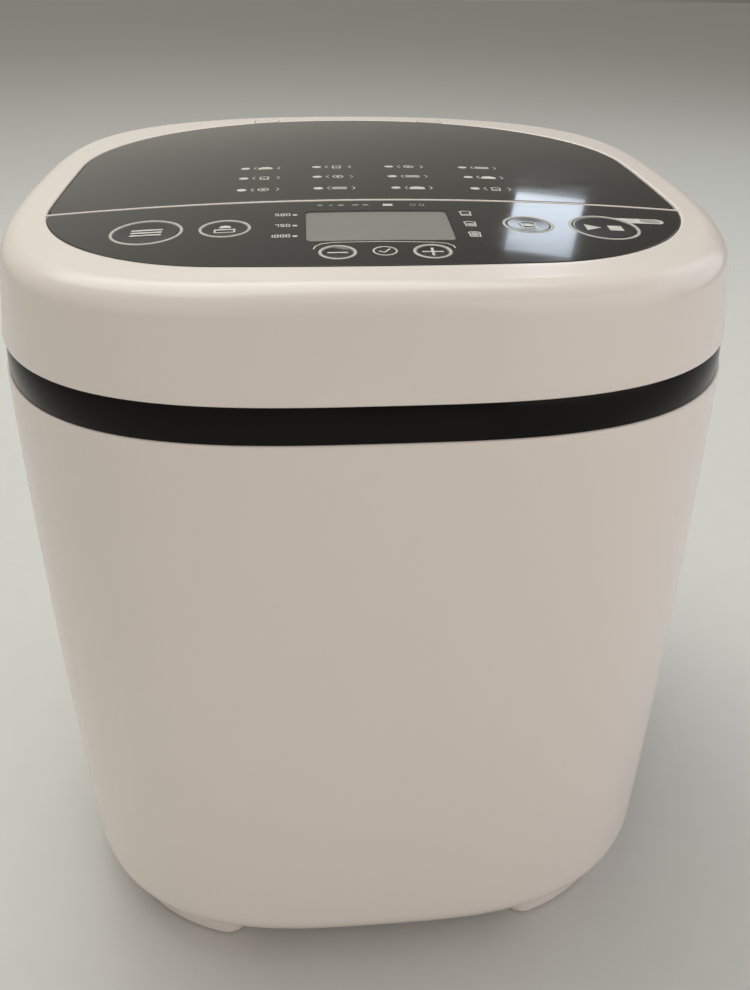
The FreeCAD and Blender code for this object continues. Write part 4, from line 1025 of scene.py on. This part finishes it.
def number_tiles(text, right, cy, size, width):
    """A number in plain strokes, set against its right end."""
    tiles = []
    pitch = 1.7 * size
    for place, digit in enumerate(reversed(text)):
        left = right - size - pitch * place
        for segment in SEGMENTS[digit]:
            ends = [(left + x * size, cy + (y - 1) * size) for x, y in SEGMENT_ENDS[segment]]
            tiles += stroke(ends, width)
    return tiles


def clock_tiles():
    """The ringed tick between minus and plus, and the line that arches over all three."""
    tiles = ring_tiles(1.2, -120.1, 3.9, 0.6)
    tiles += stroke([(-0.8, -120.3), (0.9, -121.4), (3.0, -118.2)], 0.6)
    return tiles + stroke([(-22.6, -117.4), (-21.9, -114.8), (-19.9, -112.6), (-16.0, -111.4), (0.9, -111.2),
                           (19.2, -112.2), (23.0, -113.4), (24.8, -115.4), (25.2, -117.6)], 0.45)


def build_fascia_marks():
    """Loaf weights left of the display, crust shades right of it, and the stages above it."""
    tiles = clock_tiles()
    for text, row in WEIGHTS:
        tiles += number_tiles(text, WEIGHT_RIGHT, row, 1.15, 0.42)
        tiles.append(pill(WEIGHT_RIGHT + 1.9, row - 0.5, 1.9, 1.5))
    for shade, row in enumerate(CRUST_ROWS):
        tiles += slice_tiles(CRUST_X, row, 2.5, 0.5)
        for bar in range(shade + 1):
            tiles.append(block(CRUST_X, row - 1.3 + 1.2 * bar, 2.4, 0.7))
    tiles.append(block(6.0, STAGE_ROW - 0.1, 3.6, 2.4))
    printed("fascia_marks", tiles, "housing")
    faint = [loaf(-19.4, STAGE_ROW + 0.2, 1.1), pill(-15.3, STAGE_ROW, 1.5, 1.3),
             loaf(-11.6, STAGE_ROW - 0.1, 1.2), pill(-6.2, STAGE_ROW, 2.6, 1.5), loaf(-2.4, STAGE_ROW, 1.2)]
    for x in (15.4, 18.8):
        faint += slice_tiles(x, STAGE_ROW, 1.1, 0.35)
    printed("stage_marks", faint, "housing", material=FAINT_PRINT)


def button_sign(name, x, y):
    """The plain sign on a button's cap, in millimetres."""
    if name == "menu_button":
        return [pill(x, y + offset, 11, 1.3) for offset in (2.6, 0, -2.6)]
    if name == "weight_button":
        corners = block(x, y - 2.3, 6.8, 2.6)
        return [loaf(x, y + 2.0, 2.0), pill(x, y - 0.6, 7.4, 0.8)] + stroke(corners + corners[:1], 0.6)
    if name == "minus_button":
        return [pill(x, y, 7.0, 0.9)]
    if name == "plus_button":
        return [pill(x, y, 7.4, 0.9), block(x, y, 0.9, 7.0)]
    if name == "crust_button":
        return slice_tiles(x, y - 0.2, 3.6, 0.6) + [loaf(x, y - 0.6, 1.8)]
    return [[(x - 7, y - 3.2), (x - 1.2, y), (x - 7, y + 3.2)], block(x + 4.2, y, 5.2, 5.2)]


def build_button_marks():
    for name in BUTTONS:
        x, y, _ = button_place(name)
        printed(name + "_sign", button_sign(name, x / MM, y / MM), name + "_key", BUTTON_SIGN_HEIGHT)


def build_light():
    """The start light in its printed tail, which runs off the start button's bezel."""
    low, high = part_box("indicator_light")
    middle = (low + high) / 2
    start_x, start_y, start_radius = button_place("start_button")
    radius = (high.y - low.y) / 2 + LIGHT_RIM
    tail = arc(start_x, start_y, start_radius + 0.05 * MM, 28, 60, 4)
    tail += arc(high.x - radius + 1.2 * MM, middle.y, radius, 80, -100, 9)
    printed("start_light_tail", [[(x / MM, y / MM) for x, y in tail]], "housing")
    bar = pill(middle.x / MM, middle.y / MM, (high.x - low.x) / MM, (high.y - low.y) / MM)
    lens = printed("start_light_lens", [bar], "housing", LIGHT_HEIGHT, LIGHT, "light_lens")
    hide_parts("indicator_light")


# ---------------- stage
def build_floor():
    mesh = bpy.data.meshes.new("floor")
    corners = [(-1, -1), (1, -1), (1, 1), (-1, 1)]
    mesh.from_pydata([(FLOOR_HALF * x, FLOOR_HALF * y, 0) for x, y in corners], [], [(0, 1, 2, 3)])
    mesh.materials.append(moulded("pale_floor", (0.615, 0.615, 0.605), (0.625, 0.625, 0.615), (0.6, 0.65),
                                  mottle=60))
    make_object("floor", mesh)


def build_world():
    """A plain surround, paler on the left than on the right."""
    world = bpy.data.worlds.new("studio")
    world.use_nodes = True
    tree = world.node_tree
    background = tree.nodes["Background"]
    background.inputs["Strength"].default_value = 1.0
    place = tree.nodes.new("ShaderNodeTexCoord")
    split = tree.nodes.new("ShaderNodeSeparateXYZ")
    tree.links.new(place.outputs["Generated"], split.inputs["Vector"])
    across = range_node(tree, split.outputs["X"], 0.0, 1.0, -0.5, 0.6)
    sides = ramp_node(tree, across.outputs["Result"], WORLD_LEFT, WORLD_RIGHT, 0.15, 0.9)
    tree.links.new(sides.outputs["Color"], background.inputs["Color"])
    bpy.context.scene.world = world


def area_light(name, place, target, sides, power, colour, glossy=True):
    """A soft rectangular light; without gloss it lights surfaces but isn't mirrored in them."""
    data = bpy.data.lights.new(name, "AREA")
    data.shape = "RECTANGLE"
    data.size, data.size_y = sides
    data.energy = power
    data.color = colour
    light = bpy.data.objects.new(name, data)
    light.location = place
    aim = Vector(target) - Vector(place)
    light.rotation_euler = aim.to_track_quat("-Z", "Y").to_euler()
    light.visible_glossy = glossy
    bpy.context.scene.collection.objects.link(light)


def build_stage():
    """The floor, the surround and six lights: name, place, target, sides, power and colour."""
    build_floor()
    build_world()
    area_light("overhead", (-0.4, 0.75, 2.1), (0, 0.1, 0.3), (2.0, 2.0), 23.5, (0.98, 1.0, 0.94))
    area_light("key", (-1.1, -1.5, 1.0), (0, 0, 0.18), (1.3, 1.3), 2.5, (1.0, 0.92, 0.87))
    area_light("fill", (1.0, -1.0, 0.7), (0.05, 0, 0.12), (1.6, 1.4), 7.5, (1.0, 0.93, 0.88))
    area_light("rim", (1.7, 0.5, 1.0), (0, 0, 0.2), (1.7, 1.5), 8, (0.88, 0.94, 1.0))
    area_light("window", (0.56, 1.73, 1.0), (0.06, -0.085, 0.3), (0.17, 0.3), 0.5, (0.78, 0.88, 1.0))
    area_light("back", (-0.25, 0.65, 0.95), (-0.03, 0.14, 0.3), (0.5, 0.3), 2.6, (1.0, 1.0, 0.92), False)
    bpy.context.scene.view_settings.view_transform = "Standard"


def build_camera():
    """The view: from the front, a little left of the middle, looking down at the top."""
    level = math.cos(CAMERA_PITCH)
    forward = Vector((math.sin(CAMERA_YAW) * level, math.cos(CAMERA_YAW) * level, -math.sin(CAMERA_PITCH)))
    right = Vector((math.cos(CAMERA_YAW), -math.sin(CAMERA_YAW), 0))
    up = right.cross(forward)
    tilted_right = right * math.cos(CAMERA_ROLL) + up * math.sin(CAMERA_ROLL)
    tilted_up = up * math.cos(CAMERA_ROLL) - right * math.sin(CAMERA_ROLL)
    data = bpy.data.cameras.new("camera")
    data.sensor_width = CAMERA_SENSOR
    data.sensor_fit = "AUTO"
    data.lens = CAMERA_LENS
    data.shift_x, data.shift_y = CAMERA_SHIFT
    camera = bpy.data.objects.new("camera", data)
    turn = Matrix((tilted_right, tilted_up, -forward)).transposed().to_4x4()
    camera.matrix_world = Matrix.Translation(CAMERA_PLACE) @ turn
    bpy.context.scene.collection.objects.link(camera)
    bpy.context.scene.camera = camera


build_camera()
build_stage()
dress_nodes()
build_shell()
build_band()
build_ring()
build_feet()
build_lid()
build_fascia()
build_buttons()
build_display()
build_lid_marks()
build_fascia_marks()
build_button_marks()
build_light()
